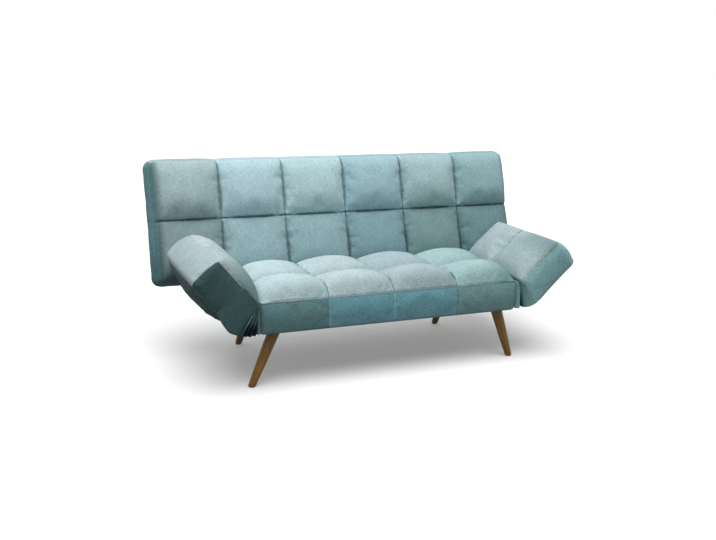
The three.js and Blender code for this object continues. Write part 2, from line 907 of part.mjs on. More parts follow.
// Arms, drawn level about their pivots
const armBase = armSeamAbovePivot - armEdge;
const armMiddleY = armDepth / 2 - armOverhang;
const boardRoomLow = armBase + armUnder;
const leafFootLow = boardRoomLow + touch;
const boardLow = leafFootLow + leafFootThick + touch;
const boardTop = boardLow + boardThick;
const boardInner = leafStandOff + leafThick + touch;

function armCushion(side) {
  const geometry = quiltedPad({
    columnBounds: evenBounds(armLength, 1),
    rowBounds: splitBounds(armDepth, armFrontRowShare),
    edge: armEdge,
    swell: armSwell,
    crown: armCrown,
    band: rollOver,
    corner: padCorner,
    bulges: [0, armBulge, padBulge, 0],
    drawIn: [0, padDrawIn],
    sag: armSag,
  });
  geometry.translate(armPivotGap + armLength / 2, armMiddleY, armBase);
  const outer = armPivotGap + armLength - skirtFront;
  const near = skirtFront - armOverhang;
  const far = armDepth - armOverhang - skirtFront;
  let cushion = solidOf(geometry).subtract(
    block(
      [boardInner - touch, outer + touch],
      [near - touch, far + touch],
      [boardRoomLow, boardTop + touch],
    ),
  );
  for (const middle of hingeMiddles()) {
    const half = leafWide / 2 + pocketRoom;
    cushion = cushion.subtract(
      block(
        [armPivotGap - overrun, boardInner],
        [middle - half, middle + half],
        [boardRoomLow, pocketRoom / 2],
      ),
    );
  }
  return meshOf(sideName(side) + "_arm_cushion", cushion, paleWeave);
}

function armBoard(side) {
  const outer = armPivotGap + armLength - skirtFront;
  const board = block(
    [boardInner, outer],
    [skirtFront - armOverhang, armDepth - armOverhang - skirtFront],
    [boardLow, boardTop],
  );
  return meshOf(sideName(side) + "_arm_board", board, timber);
}

// The arm leaf is the seat leaf turned about, with a foot under the board
function armLeaf(side, middle, end) {
  const leaf = meshOf("leaf", leafSolid(-leafFootLow, true), steel).geometry;
  leaf.rotateZ(Math.PI);
  const foot = block(
    [leafStandOff, boardInner + leafFoot],
    [-leafWide / 2, leafWide / 2],
    [leafFootLow, leafFootLow + leafFootThick],
  );
  const name = sideName(side) + "_arm_leaf_" + end;
  const mesh = meshOf(name, solidOf(leaf).add(foot), steel);
  mesh.position.y = middle;
  return mesh;
}

function armGroup(side) {
  const arm = new THREE.Group();
  arm.position.set(side * armPivotX, 0, armPivotZ);
  arm.rotation.y = -side * radians(armRises[sideName(side)]);
  arm.scale.x = side;
  arm.add(armCushion(side), armBoard(side));
  const [front, rear] = hingeMiddles();
  arm.add(armLeaf(side, front, "front"), armLeaf(side, rear, "rear"));
  return arm;
}

// Gussets: cloth gathered from the top of the gap down to its open lower end,
// drawn about the arm pivot with X away from the seat
function gusset(side) {
  const name = sideName(side);
  const turn = radians(armRises[name]);
  const near = armPivotGap - gussetGap;
  const armEnd = (down) => [
    near * Math.cos(turn) + down * Math.sin(turn),
    near * Math.sin(turn) - down * Math.cos(turn),
  ];
  const waves = gussetFoldCounts[name];
  const point = (a, b) => {
    const down = gussetTop + b * gussetHigh;
    const [armX, armZ] = armEnd(down);
    const spread = Math.sin(Math.PI * a);
    const y = THREE.MathUtils.lerp(gussetInset, gussetInset - armOverhang, a);
    return [
      THREE.MathUtils.lerp(-near, armX, a),
      y + gussetFold * b * spread * Math.sin(2 * Math.PI * waves * a),
      THREE.MathUtils.lerp(-down, armZ, a) - gussetSag * b * b * spread,
    ];
  };
  const across = gussetSteps + 1;
  const along = gussetRise + 1;
  const position = [];
  for (const back of [0, gussetThick]) {
    for (let j = 0; j < along; j++) {
      for (let i = 0; i < across; i++) {
        const [x, y, z] = point(i / gussetSteps, j / gussetRise);
        position.push(x, y + back, z);
      }
    }
  }
  const index = [];
  const sheet = across * along;
  for (let j = 0; j < gussetRise; j++) {
    for (let i = 0; i < gussetSteps; i++) {
      const a = j * across + i;
      const b = a + 1;
      const c = a + across;
      const d = c + 1;
      index.push(a, c, d, a, d, b);
      index.push(sheet + a, sheet + d, sheet + c, sheet + a, sheet + b, sheet + d);
    }
  }
  const rim = rimOf(across, along);
  rim.forEach((v, i) => {
    const next = rim[(i + 1) % rim.length];
    index.push(v, next, sheet + next, v, sheet + next, sheet + v);
  });
  const geometry = new THREE.BufferGeometry();
  geometry.setAttribute("position", new THREE.Float32BufferAttribute(position, 3));
  geometry.setIndex(index);
  const mesh = meshOf(name + "_gusset", solidOf(geometry), darkWeave);
  mesh.position.set(side * armPivotX, 0, armPivotZ);
  mesh.scale.x = side;
  return mesh;
}

// The whole sofa, with its origin on the floor under the middle of its overall box
const sofa = new THREE.Group();
const seat = new THREE.Group();
addSeatFrame(seat);
seat.add(seatBaseCloth(), seatCushion());
legs.forEach((leg) => addLeg(seat, leg));

const back = new THREE.Group();
back.position.set(0, backPivotY, backPivotZ);
back.rotation.x = -recline;
addBackFrame(back);
back.add(backCushion(), backCover());

for (const side of [-1, 1]) {
  seat.add(seatBracket(side), pivotBolt(side), hingeRod(side), gusset(side), armGroup(side));
  addSeatLeaves(seat, side);
  const lever = pawl(side);
  lever.position.set(0, pawlPinIn, pawlPinUp);
  back.add(backBracket(side), pawlPin(side), lever);
}
seat.add(back);
seat.position.y = -centreY;
sofa.add(seat);

export default sofa;
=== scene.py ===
import json
import math

import bpy
import numpy as np
from mathutils import Matrix, Vector

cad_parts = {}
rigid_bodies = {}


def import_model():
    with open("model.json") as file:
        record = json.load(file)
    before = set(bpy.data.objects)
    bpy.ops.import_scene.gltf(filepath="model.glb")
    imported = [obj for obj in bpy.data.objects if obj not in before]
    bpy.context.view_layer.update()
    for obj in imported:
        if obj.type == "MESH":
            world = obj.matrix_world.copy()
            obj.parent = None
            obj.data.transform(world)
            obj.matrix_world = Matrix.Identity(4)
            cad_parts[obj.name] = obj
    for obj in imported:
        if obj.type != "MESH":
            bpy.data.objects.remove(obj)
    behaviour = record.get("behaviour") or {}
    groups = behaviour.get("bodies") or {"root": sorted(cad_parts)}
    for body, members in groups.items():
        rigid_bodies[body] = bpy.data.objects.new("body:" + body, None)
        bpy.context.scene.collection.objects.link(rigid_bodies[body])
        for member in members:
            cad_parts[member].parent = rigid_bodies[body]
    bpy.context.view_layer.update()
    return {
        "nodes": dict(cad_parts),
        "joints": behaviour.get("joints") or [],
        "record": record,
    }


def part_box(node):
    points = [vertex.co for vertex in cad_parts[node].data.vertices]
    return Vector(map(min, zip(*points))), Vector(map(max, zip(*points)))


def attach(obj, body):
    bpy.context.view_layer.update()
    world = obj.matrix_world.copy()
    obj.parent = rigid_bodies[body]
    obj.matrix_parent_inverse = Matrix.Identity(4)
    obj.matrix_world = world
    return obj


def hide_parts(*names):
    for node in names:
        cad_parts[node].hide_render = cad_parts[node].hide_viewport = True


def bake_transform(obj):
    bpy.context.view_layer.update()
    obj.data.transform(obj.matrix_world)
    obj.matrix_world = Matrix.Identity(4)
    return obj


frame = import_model()
joints = {joint["name"]: joint for joint in frame["joints"]}
scene = bpy.context.scene
turnFull = 2 * math.pi

# Camera, lamps and floor
view = {
    "place": (-1.6067, -3.8170, 1.3876),
    "yaw": 22.61,  # degrees to the right of straight ahead
    "pitch": 13.60,  # degrees down
    "roll": 1.18,
    "lens": 45.6,
}
lamps = {
    "overhead": {"from": (-0.14, -0.24, 0.96), "strength": 2.75, "spread": 55},
    "skyLow": 0.06,
    "skyHigh": 0.50,
}
floor = {"half": 40.0, "seen": 0.80, "bounced": 0.22, "glow": 0.225}


def newObject(name, data):
    thing = bpy.data.objects.new(name, data)
    scene.collection.objects.link(thing)
    return thing


def addCamera():
    yaw, pitch, roll = (math.radians(view[k]) for k in ("yaw", "pitch", "roll"))
    flat = math.cos(pitch)
    ahead = Vector((math.sin(yaw) * flat, math.cos(yaw) * flat, -math.sin(pitch)))
    right = ahead.cross(Vector((0, 0, 1))).normalized()
    up = right.cross(ahead)
    tiltedRight = math.cos(roll) * right + math.sin(roll) * up
    tiltedUp = -math.sin(roll) * right + math.cos(roll) * up
    turn = Matrix((tiltedRight, tiltedUp, -ahead)).transposed().to_4x4()
    data = bpy.data.cameras.new("photoCamera")
    data.lens = view["lens"]
    data.sensor_width = 36
    scene.camera = newObject("photoCamera", data)
    scene.camera.matrix_world = Matrix.Translation(view["place"]) @ turn


def addOverhead():
    spec = lamps["overhead"]
    data = bpy.data.lights.new("overhead", "SUN")
    data.energy = spec["strength"]
    data.angle = math.radians(spec["spread"])
    aim = Vector(spec["from"]).to_track_quat("Z", "Y")
    newObject("overhead", data).rotation_euler = aim.to_euler()


def setInputs(tree, node, values):  # by name or number: each a value, or a socket to link
    for name, value in values.items():
        if isinstance(value, bpy.types.NodeSocket):
            tree.links.new(value, node.inputs[name])
        else:
            node.inputs[name].default_value = value


def addNode(tree, kind, values, **settings):
    node = tree.nodes.new("ShaderNode" + kind)
    for name, setting in settings.items():
        setattr(node, name, setting)
    setInputs(tree, node, values)
    return node


def mathNode(tree, kind, *values):
    return addNode(tree, "Math", dict(enumerate(values)), operation=kind).outputs[0]


def rangeNode(tree, value, low, high, toLow, toHigh):
    values = {"Value": value, "From Min": low, "From Max": high, "To Min": toLow, "To Max": toHigh}
    return addNode(tree, "MapRange", values, interpolation_type="SMOOTHSTEP").outputs[0]


def emptyTree(owner):
    owner.use_nodes = True
    owner.node_tree.nodes.clear()
    return owner.node_tree


def mixByRay(tree, output, bounced, seen):  # seen: by the camera, and what metal and glass show
    path = addNode(tree, "LightPath", {})
    share = path.outputs["Is Camera Ray"]
    for name in ("Is Glossy Ray", "Is Transmission Ray"):
        share = mathNode(tree, "MAXIMUM", share, path.outputs[name])
    mix = addNode(tree, "MixShader", {0: share, 1: bounced, 2: seen})
    addNode(tree, output, {"Surface": mix.outputs[0]})


def addWorld():  # brighter overhead than at the sides
    world = bpy.data.worlds.new("studio")
    tree = emptyTree(world)
    coords = addNode(tree, "TexCoord", {})
    split = addNode(tree, "SeparateXYZ", {0: coords.outputs["Generated"]})
    high = rangeNode(tree, split.outputs[2], 0, 1, lamps["skyLow"], lamps["skyHigh"])
    sky = addNode(tree, "Background", {"Color": (1, 1, 1, 1), "Strength": high})
    seen = addNode(tree, "Background", {"Color": (1, 1, 1, 1)})
    mixByRay(tree, "OutputWorld", sky.outputs[0], seen.outputs[0])
    scene.world = world


def newPiece(name, points, faces):
    mesh = bpy.data.meshes.new(name)
    mesh.from_pydata(points, [], faces)
    return newObject(name, mesh)


def addFloor():
    half = floor["half"]
    corners = [(x * half, y * half, 0) for x, y in ((-1, -1), (1, -1), (1, 1), (-1, 1))]
    plane = newPiece("floor", corners, [(0, 1, 2, 3)])
    finish = bpy.data.materials.new("floor")
    tree = emptyTree(finish)
    paints = {}
    for name in ("bounced", "seen"):
        grey = floor[name]
        paint = addNode(tree, "BsdfDiffuse", {"Color": (grey, grey, grey, 1)})
        paints[name] = paint.outputs[0]
    glow = addNode(tree, "Emission", {"Strength": floor["glow"]})
    both = addNode(tree, "AddShader", {0: paints["seen"], 1: glow.outputs[0]})
    mixByRay(tree, "OutputMaterial", paints["bounced"], both.outputs[0])
    plane.data.materials.append(finish)


# Cloths of the patchwork, as linear colours of the dyed yarn, and darker copies named Low that
# paint shade
tints = {
    "greyAqua": (0.410, 0.552, 0.571),
    "endTeal": (0.330, 0.560, 0.600),
    "blueAqua": (0.491, 0.690, 0.742),
    "greenAqua": (0.490, 0.686, 0.716),
    "blueTeal": (0.381, 0.579, 0.632),
    "greyGreen": (0.394, 0.568, 0.588),
    "fadedTeal": (0.319, 0.502, 0.527),
    # darker copies of the back's cloths, which paint shade on its lower row; greyGreenLow also
    # covers the rear
    "greyAquaLow": (0.256, 0.363, 0.380),
    "blueAquaLow": (0.336, 0.489, 0.525),
    "greenAquaLow": (0.301, 0.455, 0.484),
    "blueTealLow": (0.229, 0.370, 0.414),
    "greyGreenLow": (0.207, 0.325, 0.333),
    "fadedTealLow": (0.165, 0.278, 0.300),
    "mist": (0.533, 0.676, 0.708),
    "pearl": (0.503, 0.627, 0.649),
    "greyMist": (0.412, 0.529, 0.561),
    "seaGlass": (0.382, 0.552, 0.562),
    "armPearl": (0.416, 0.526, 0.550),
    "armPale": (0.513, 0.599, 0.625),
    "armAqua": (0.395, 0.515, 0.535),
    "armShade": (0.428, 0.549, 0.553),
    "boxingDeep": (0.138, 0.271, 0.285),
    "boxingGreen": (0.192, 0.345, 0.354),
    "boxingTeal": (0.170, 0.387, 0.445),
    "slate": (0.059, 0.120, 0.124),
    "gathered": (0.200, 0.330, 0.340),
    "armTeal": (0.280, 0.520, 0.545),
    "night": (0.045, 0.080, 0.085),
}
weave = {
    "thread": 0.0021,  # from one thread to the next
    "slub": 0.0031,  # thickness of the streaks in the yarn
    "slubDepth": 0.23,
    "darkSlubDepth": 0.34,
    "dark": ("boxing", "slate", "armTeal", "night", "gathered"),  # how their names start
    "cloud": 0.060,
    "cloudDepth": 0.05,
    "tealShade": 0.62,  # how much red a spot under full painted shade keeps, so the painted shade turns teal
    "seamShade": 0.38,
    "seamStart": 0.0004,
    "seamWide": 0.0036,
    # painted highlight in a band beside each seam
    "besideSeamHighlight": 0.05,
    "stitch": 0.0065,
    "stitchDepth": 0.25,
    "sewnBright": 1.3,
    "bump": 0.0007,
}
clothShader = {
    "Roughness": 0.95,
    "Specular IOR Level": 0.15,
    "Sheen Weight": 0.10,
    "Sheen Roughness": 0.6,
    "Sheen Tint": (0.85, 0.95, 0.97, 1),
}


def newFinish(name, values):
    finish = bpy.data.materials.new(name)
    finish.use_nodes = True
    tree = finish.node_tree
    shader = tree.nodes["Principled BSDF"]
    setInputs(tree, shader, values)
    return finish, tree, shader


def noiseNode(tree, place, scale, detail, stretch=(1, 1, 1)):
    mapping = addNode(tree, "Mapping", {"Vector": place, "Scale": stretch})
    values = {"Vector": mapping.outputs[0], "Scale": scale, "Detail": detail, "Roughness": 0.6}
    return addNode(tree, "TexNoise", values).outputs["Fac"]


def attributeNode(tree, name):
    return addNode(tree, "Attribute", {}, attribute_name=name).outputs["Fac"]


def uvNode(tree, name):
    return addNode(tree, "UVMap", {}, uv_map=name).outputs[0]


def rampNode(tree, value, low, lowColour, high, highColour):
    node = addNode(tree, "ValToRGB", {0: value})
    for end, place, colour in ((0, low, lowColour), (1, high, highColour)):
        node.color_ramp.elements[end].position = place
        node.color_ramp.elements[end].color = (*colour, 1)
    return node.outputs[0]


def bumpNode(tree, height, strength, distance):
    values = {"Height": height, "Strength": strength, "Distance": distance}
    return addNode(tree, "Bump", values).outputs[0]


def shaded(tree, colour, bright, red):  # the colour times a brightness, which is apart for red
    grey = addNode(tree, "CombineColor", {0: red, 1: bright, 2: bright})
    values = {0: 1, "A": colour, "B": grey.outputs[0]}
    mix = addNode(tree, "Mix", values, data_type="RGBA", blend_type="MULTIPLY")
    return mix.outputs["Result"]


def wovenCloth(name, tint):
    finish, tree, shader = newFinish(name, clothShader)
    place = uvNode(tree, "cloth")
    fine = 1 / weave["slub"]
    weft = noiseNode(tree, place, fine, 3, (0.22, 1.0, 1))
    warp = noiseNode(tree, place, fine, 3, (1.0, 0.25, 1))
    fleck = mathNode(tree, "MULTIPLY_ADD", warp, 0.55, weft)
    cloud = noiseNode(tree, place, 1 / weave["cloud"], 3)
    # the pieces' painted shade, held in the attribute read here, darkens the cloth and takes out
    # red
    seam, shade = attributeNode(tree, "seam"), attributeNode(tree, "paintedShade")
    wide = weave["seamWide"]
    slub = weave["darkSlubDepth" if name.startswith(weave["dark"]) else "slubDepth"]
    uneven = weave["cloudDepth"]
    factors = (
        rangeNode(tree, cloud, 0.3, 0.7, 1 - uneven, 1 + uneven),
        rangeNode(tree, seam, weave["seamStart"], wide, weave["seamShade"], 1),
        # painted highlight beside each seam
        rangeNode(tree, seam, 2 * wide, 5 * wide, 1 + weave["besideSeamHighlight"], 1),
        mathNode(tree, "SUBTRACT", 1, shade),
    )
    bright = rangeNode(tree, fleck, 0.48, 1.07, 1 - slub, 1 + slub)
    for factor in factors:
        bright = mathNode(tree, "MULTIPLY", bright, factor)
    run = mathNode(tree, "MULTIPLY", attributeNode(tree, "along"), turnFull / weave["stitch"])
    wave = mathNode(tree, "SINE", run)
    stitches = rangeNode(tree, wave, -0.2, 0.6, 0, weave["stitchDepth"])
    atSeam = rangeNode(tree, seam, wide * 0.2, wide * 0.6, 1, 0)
    bright = mathNode(tree, "MULTIPLY_ADD", stitches, atSeam, bright)
    sewn = attributeNode(tree, "thread")
    bright = mathNode(tree, "MULTIPLY_ADD", sewn, weave["sewnBright"], bright)
    teal = rangeNode(tree, shade, 0, 1, 1, weave["tealShade"])
    red = mathNode(tree, "MULTIPLY", bright, teal)
    split = addNode(tree, "SeparateXYZ", {0: place})
    around = turnFull / weave["thread"]
    turns = [mathNode(tree, "MULTIPLY", split.outputs[k], around) for k in range(2)]
    threads = mathNode(tree, "MULTIPLY", *(mathNode(tree, "SINE", turn) for turn in turns))
    height = mathNode(tree, "MULTIPLY_ADD", fleck, 1.6, threads)
    colour = shaded(tree, (*tint, 1), bright, red)
    normal = bumpNode(tree, height, 0.4, weave["bump"])
    setInputs(tree, shader, {"Base Color": colour, "Normal": normal})
    return finish


cloths = {name: wovenCloth(name, tint) for name, tint in tints.items()}
print("cloths ready")


def easeIn(share):
    t = np.clip(share, 0, 1)
    return t * t * (3 - 2 * t)


# Smooth chance from -1 to 1, the same each time
def chance(cell, seed):
    value = np.sin(cell * 127.1 + seed * 311.7) * 43758.5453
    return 2 * (value - np.floor(value)) - 1


def wander(at, seed):
    cell = np.floor(at)
    t = easeIn(at - cell)
    return chance(cell, seed) * (1 - t) + chance(cell + 1, seed) * t


def lumps(x, y, seed):
    row = np.floor(y)
    t = easeIn(y - row)
    low = wander(x + 17 * chance(row, seed + 5), seed + row % 97)
    high = wander(x + 17 * chance(row + 1, seed + 5), seed + (row + 1) % 97)
    return low * (1 - t) + high * t


# Upholstered pads. Each is drawn lying flat: x across, y along, z up from its base. Its points
# keep their place on the flat casing. The drop is 0 on the top, the way down from the top seam
# on the sides, and 1 on the underside.
flatNames = ("flatX", "flatY", "drop")
padGrid = {
    "besideSeam": [0, 0.0022, 0.0055, 0.0105, 0.0175, 0.027, 0.039],
    "belowSeam": [0.0022, 0.0055, 0.011, 0.02],
    "turnedEdge": [0.4, 0.8, 1.2, math.pi / 2],  # angles round the lower edge
    "seamReach": 0.03,  # distances from a seam are kept up to here
    "farAway": 9.0,
}
plainPad = {
    "spacing": 0.0135,
    "soft": 1,
    "droop": 0,
    "drawIn": (0, 0),
    "sag": 0,
    "cap": 0.016,
    "edgeSeam": False,
    "boxingSeams": False,
    "threads": [],
    "endCloth": None,
    "under": "night",
    "fill": 0.75,
}


def cellLines(bounds, spacing):
    beside = padGrid["besideSeam"]
    lines = []
    for a, b in zip(bounds, bounds[1:]):
        rest = (b - a) / 2 - beside[-1]
        count = max(1, round(rest / spacing))
        side = beside + [beside[-1] + rest * k / count for k in range(1, count + 1)]
        lines += [a + d for d in side] + [b - d for d in side[-2:0:-1]]
    return np.array(lines + [bounds[-1]])


def cellShare(at, bounds):  # -1 to 1 across the cell that each line lies in, and the cell
    cell = np.clip(np.searchsorted(bounds, at, side="right") - 1, 0, len(bounds) - 2)
    low, high = np.array(bounds)[cell], np.array(bounds)[cell + 1]
    return 2 * (at - low) / (high - low) - 1, cell


def rollOff(distance, band):  # a quarter round of that width at a free edge
    left = 1 - np.clip(distance / band, 0, 1)
    return np.sqrt(1 - left**2)


def dome(share, power, steep):
    t = np.abs(share)
    return (1 - steep) * (1 - t**power) + steep * (1 - t**10)


def rimOf(across, along):
    rim = list(range(across - 1))
    rim += [j * across + across - 1 for j in range(along - 1)]
    rim += [(along - 1) * across + i for i in range(across - 1, 0, -1)]
    rim += [j * across for j in range(along - 1, 0, -1)]
    return rim


def fromEdges(pad, x, y):
    return pad["columns"][-1] - np.abs(x), pad["rows"][-1] - np.abs(y)


def topPoints(pad, xs, ys):
    halfX, halfY = pad["columns"][-1], pad["rows"][-1]
    gridX, gridY = np.meshgrid(xs, ys)
    inX, inY = fromEdges(pad, gridX, gridY)
    shareX, cellX = cellShare(xs, pad["columns"])
    shareY, cellY = cellShare(ys, pad["rows"])
    shareY = shareY + pad["droop"] * (1 - shareY**2)
    cells = chance(np.arange(64.0), pad["seed"]).reshape(8, 8)[: len(pad["rows"]) - 1]
    crowns = pad["crown"] * (1 + pad["uneven"] * cells[:, : len(pad["columns"]) - 1])
    domeX, domeY = pad["domes"]
    domes = np.outer(dome(shareY, *domeY), dome(shareX, *domeX))
    swollen = (rollOff(inX, pad["band"]) * rollOff(inY, pad["band"])) ** pad["soft"]
    height = pad["edge"] + pad["swell"] * swollen + crowns[np.ix_(cellY, cellX)] * domes
    roundX, roundY = pad["round"]
    height -= pad["fillet"] * (1 - rollOff(inX, roundX) * rollOff(inY, roundY))
    corner = pad["corner"]  # round in plan, and drawn in between the corners
    a = np.clip((corner - inX) / corner, 0, 1)
    b = np.clip((corner - inY) / corner, 0, 1)
    bent = (a > 0) & (b > 0)
    u, v = a * np.sqrt(1 - b * b / 2), b * np.sqrt(1 - a * a / 2)
    px = np.where(bent, np.sign(gridX) * (halfX - corner + u * corner), gridX)
    py = np.where(bent, np.sign(gridY) * (halfY - corner + v * corner), gridY)
    px = px * (1 - (pad["drawIn"][0] / halfX) * (1 - (gridY / halfY) ** 2))
    py = py * (1 - (pad["drawIn"][1] / halfY) * (1 - (gridX / halfX) ** 2))
    return np.stack([px, py, height], -1).reshape(-1, 3), cellX, cellY


def quadsOf(across, along):  # row, column and corners of each cell of a grid
    for j in range(along - 1):
        for i in range(across - 1):
            a = j * across + i
            yield j, i, (a, a + 1, a + across + 1, a + across)


def wallRings(pad):  # down the sides and round the lower edge: how far down, and how far in
    turned = pad["turned"]
    wall = pad["edge"] - pad["fillet"] - turned
    drops = padGrid["belowSeam"]
    rest = wall - drops[-1]
    count = max(3, round(rest / pad["spacing"]))
    drops = drops + [drops[-1] + rest * k / count for k in range(1, count + 1)]
    rings = [(drop, 0.0) for drop in drops]
    for t in padGrid["turnedEdge"]:
        rings.append((wall + turned * math.sin(t), turned * (1 - math.cos(t))))
    return rings


def padMesh(name, pad):
    halfX, halfY = pad["columns"][-1], pad["rows"][-1]
    xs, ys = cellLines(pad["columns"], pad["spacing"]), cellLines(pad["rows"], pad["spacing"])
    across, along = len(xs), len(ys)
    top, cellX, cellY = topPoints(pad, xs, ys)
    gridX, gridY = (grid.reshape(-1) for grid in np.meshgrid(xs, ys))
    points, faces, patches, uvs = [top], [], [], []
    flats = [np.column_stack([gridX, gridY, 0 * gridX])]
    for j, i, quad in quadsOf(across, along):
        faces.append(quad)
        atEnd = pad["endCloth"] and xs[i] < pad["endBand"] - halfX
        patches.append(pad["endCloth"] if atEnd else pad["top"][cellY[j]][cellX[i]])
        uvs += [(gridX[k], gridY[k]) for k in quad]
    rim = rimOf(across, along)
    around = top[rim]
    tangent = (np.roll(around, -1, 0) - np.roll(around, 1, 0))[:, :2]
    tangent /= np.linalg.norm(tangent, axis=1)[:, None]
    out = np.stack([tangent[:, 1], -tangent[:, 0]], -1)
    left, right, front, rear = pad["bulges"]
    swollen = out[:, 0] ** 2 * np.where(out[:, 0] < 0, left, right)
    swollen += out[:, 1] ** 2 * np.where(out[:, 1] < 0, front, rear)
    steps = np.linalg.norm(np.roll(around, -1, 0) - around, axis=1)
    run = np.concatenate([[0], np.cumsum(steps)])
    sideways = np.abs(out[:, 0]) > np.abs(out[:, 1])
    side = np.where(sideways, np.where(out[:, 0] < 0, 0, 1), np.where(out[:, 1] < 0, 2, 3))
    seamZ = pad["edge"] - pad["fillet"]
    last, lastDrop, base = rim, 0.0, len(top)
    for drop, inset in wallRings(pad):
        proud = swollen * math.sin(math.pi * min(drop / seamZ, 1)) ** 0.6 - inset
        flat = around[:, :2] + out * proud[:, None]
        points.append(np.column_stack([flat, np.full(len(rim), seamZ - drop)]))
        flats.append(np.column_stack([gridX[rim], gridY[rim], np.full(len(rim), drop)]))
        now = list(range(base, base + len(rim)))
        for k in range(len(rim)):
            n = (k + 1) % len(rim)
            faces.append((last[k], now[k], now[n], last[n]))
            column = min(rim[k] % across, rim[n] % across, across - 2)
            cloth = pad["sides"][max(side[k], side[n])]
            patches.append(cloth if isinstance(cloth, str) else cloth[cellX[column]])
            end = run[k] + steps[k]
            uvs += [(run[k], -lastDrop), (run[k], -drop), (end, -drop), (end, -lastDrop)]
        last, lastDrop = now, drop
        base += len(rim)
    lower = dict(zip(rim, last))  # underside, on the same lines as the top
    inX, inY = fromEdges(pad, gridX, gridY)
    hang = -pad["sag"] * rollOff(inX, halfX) * rollOff(inY, halfY)
    under = np.column_stack([top[:, :2] * (1 - pad["turned"] / min(halfX, halfY)), hang])
    inside = [k for k in range(len(top)) if k not in lower]
    lower.update({k: base + n for n, k in enumerate(inside)})
    points.append(under[inside])
    flats.append(np.column_stack([gridX[inside], gridY[inside], np.full(len(inside), 1.0)]))
    for _, _, (a, b, c, d) in quadsOf(across, along):
        faces.append(tuple(lower[k] for k in (a, d, c, b)))
        patches.append(pad["under"])
        uvs += [(gridX[k], gridY[k]) for k in (a, d, c, b)]
    piece = newPiece(name, np.concatenate(points).tolist(), faces)
    used = sorted(set(patches))
    numbers = [used.index(patch) for patch in patches]
    dressMesh(piece.data, "cloth", uvs, [cloths[cloth] for cloth in used], numbers)
    for label, values in zip(flatNames, np.concatenate(flats).T):
        writeValues(piece.data, label, values)
    return piece


def dressMesh(mesh, layer, uvs, finishes, patches=None):
    places = mesh.uv_layers.new(name=layer).data
    places.foreach_set("uv", np.array(uvs, np.float32).ravel())
    mesh.polygons.foreach_set("use_smooth", [len(face.vertices) == 4 for face in mesh.polygons])
    for finish in finishes:
        mesh.materials.append(finish)
    if patches:
        mesh.polygons.foreach_set("material_index", patches)


def writeValues(mesh, name, values):
    attribute = mesh.attributes.get(name) or mesh.attributes.new(name, "FLOAT", "POINT")
    attribute.data.foreach_set("value", np.asarray(values, np.float32))


def readValues(mesh, name):
    values = np.empty(len(mesh.vertices), np.float32)
    mesh.attributes[name].data.foreach_get("value", values)
    return values.astype(float)


def readPoints(mesh, what="co"):
    places = np.empty(len(mesh.vertices) * 3)
    mesh.vertices.foreach_get(what, places)
    return places.reshape(-1, 3)


def applyModifiers(piece):
    seen = bpy.context.evaluated_depsgraph_get()
    made = bpy.data.meshes.new_from_object(piece.evaluated_get(seen), depsgraph=seen)
    old = piece.data
    piece.modifiers.clear()
    piece.data = made
    bpy.data.meshes.remove(old)
    made.name = piece.name


# Air pressure swells the cloth between the sewn lines, which are held
inflation = {
    "frames": 20,
    "pressure": 4.0,
    "slack": -0.035,
    "quality": 5,
    "mass": 0.3,
    "stretch": 15,
    "shear": 5,
    "bend": 0.5,
    "heldBand": 0.0008,
    "heldFoot": 0.012,
    "edgeBand": 0.055,
    "sideBand": 0.03,
    "sideShare": 0.5,
}


def inflate(piece, pad):
    mesh = piece.data
    start = readPoints(mesh)
    x, y, drop = (readValues(mesh, name) for name in flatNames)
    seam = seamDistance(pad, x, y, drop)
    held = piece.vertex_groups.new(name="held")
    foot = pad["edge"] - pad["turned"] - inflation["heldFoot"]
    fixed = np.nonzero((seam < inflation["heldBand"]) | (drop > foot))[0]
    held.add(fixed.tolist(), 1, "REPLACE")
    cloth = piece.modifiers.new("cloth", "CLOTH")
    settings = cloth.settings
    settings.quality = inflation["quality"]
    settings.mass = inflation["mass"]
    settings.tension_stiffness = settings.compression_stiffness = inflation["stretch"]
    settings.shear_stiffness = inflation["shear"]
    settings.bending_stiffness = inflation["bend"]
    settings.use_pressure = True
    settings.uniform_pressure_force = inflation["pressure"]
    settings.shrink_min = inflation["slack"]
    settings.vertex_group_mass = "held"
    settings.effector_weights.gravity = 0
    cloth.collision_settings.use_collision = False
    cloth.point_cache.frame_start = 1
    cloth.point_cache.frame_end = inflation["frames"]
    for step in range(1, inflation["frames"] + 1):
        scene.frame_set(step)
    seen = bpy.context.evaluated_depsgraph_get()
    moved = readPoints(piece.evaluated_get(seen).data) - start
    far = np.linalg.norm(moved, axis=1)
    cap = pad["cap"]
    free = 1
    if not pad["edgeSeam"]:
        free = easeIn(np.minimum(*fromEdges(pad, x, y)) / inflation["edgeBand"])
    onSide = inflation["sideShare"] * easeIn(drop / inflation["sideBand"])
    free = byZone(drop, free, onSide, 1)
    moved *= (free * cap * np.tanh(far / cap) / np.maximum(far, 1e-9))[:, None]
    piece.modifiers.clear()
    piece.vertex_groups.clear()
    scene.frame_set(1)
    mesh.vertices.foreach_set("co", (start + moved).ravel())
    mesh.update()
    print(piece.name, "swelled by", round(float(far.max()), 4))


def byZone(drop, top, side, under):
    return np.where(drop < 1e-5, top, np.where(drop > 0.5, under, side))


def isFront(pad, y, drop):  # on the front side of the casing
    return (y < 0.0005 - pad["rows"][-1]) & (drop < 0.5)


def nearestBound(at, bounds):
    if len(bounds) == 0:
        return np.full(at.shape, padGrid["farAway"])
    return np.min([np.abs(at - bound) for bound in bounds], axis=0)


def toSeams(pad, x, y):
    return nearestBound(x, pad["columns"][1:-1]), nearestBound(y, pad["rows"][1:-1])


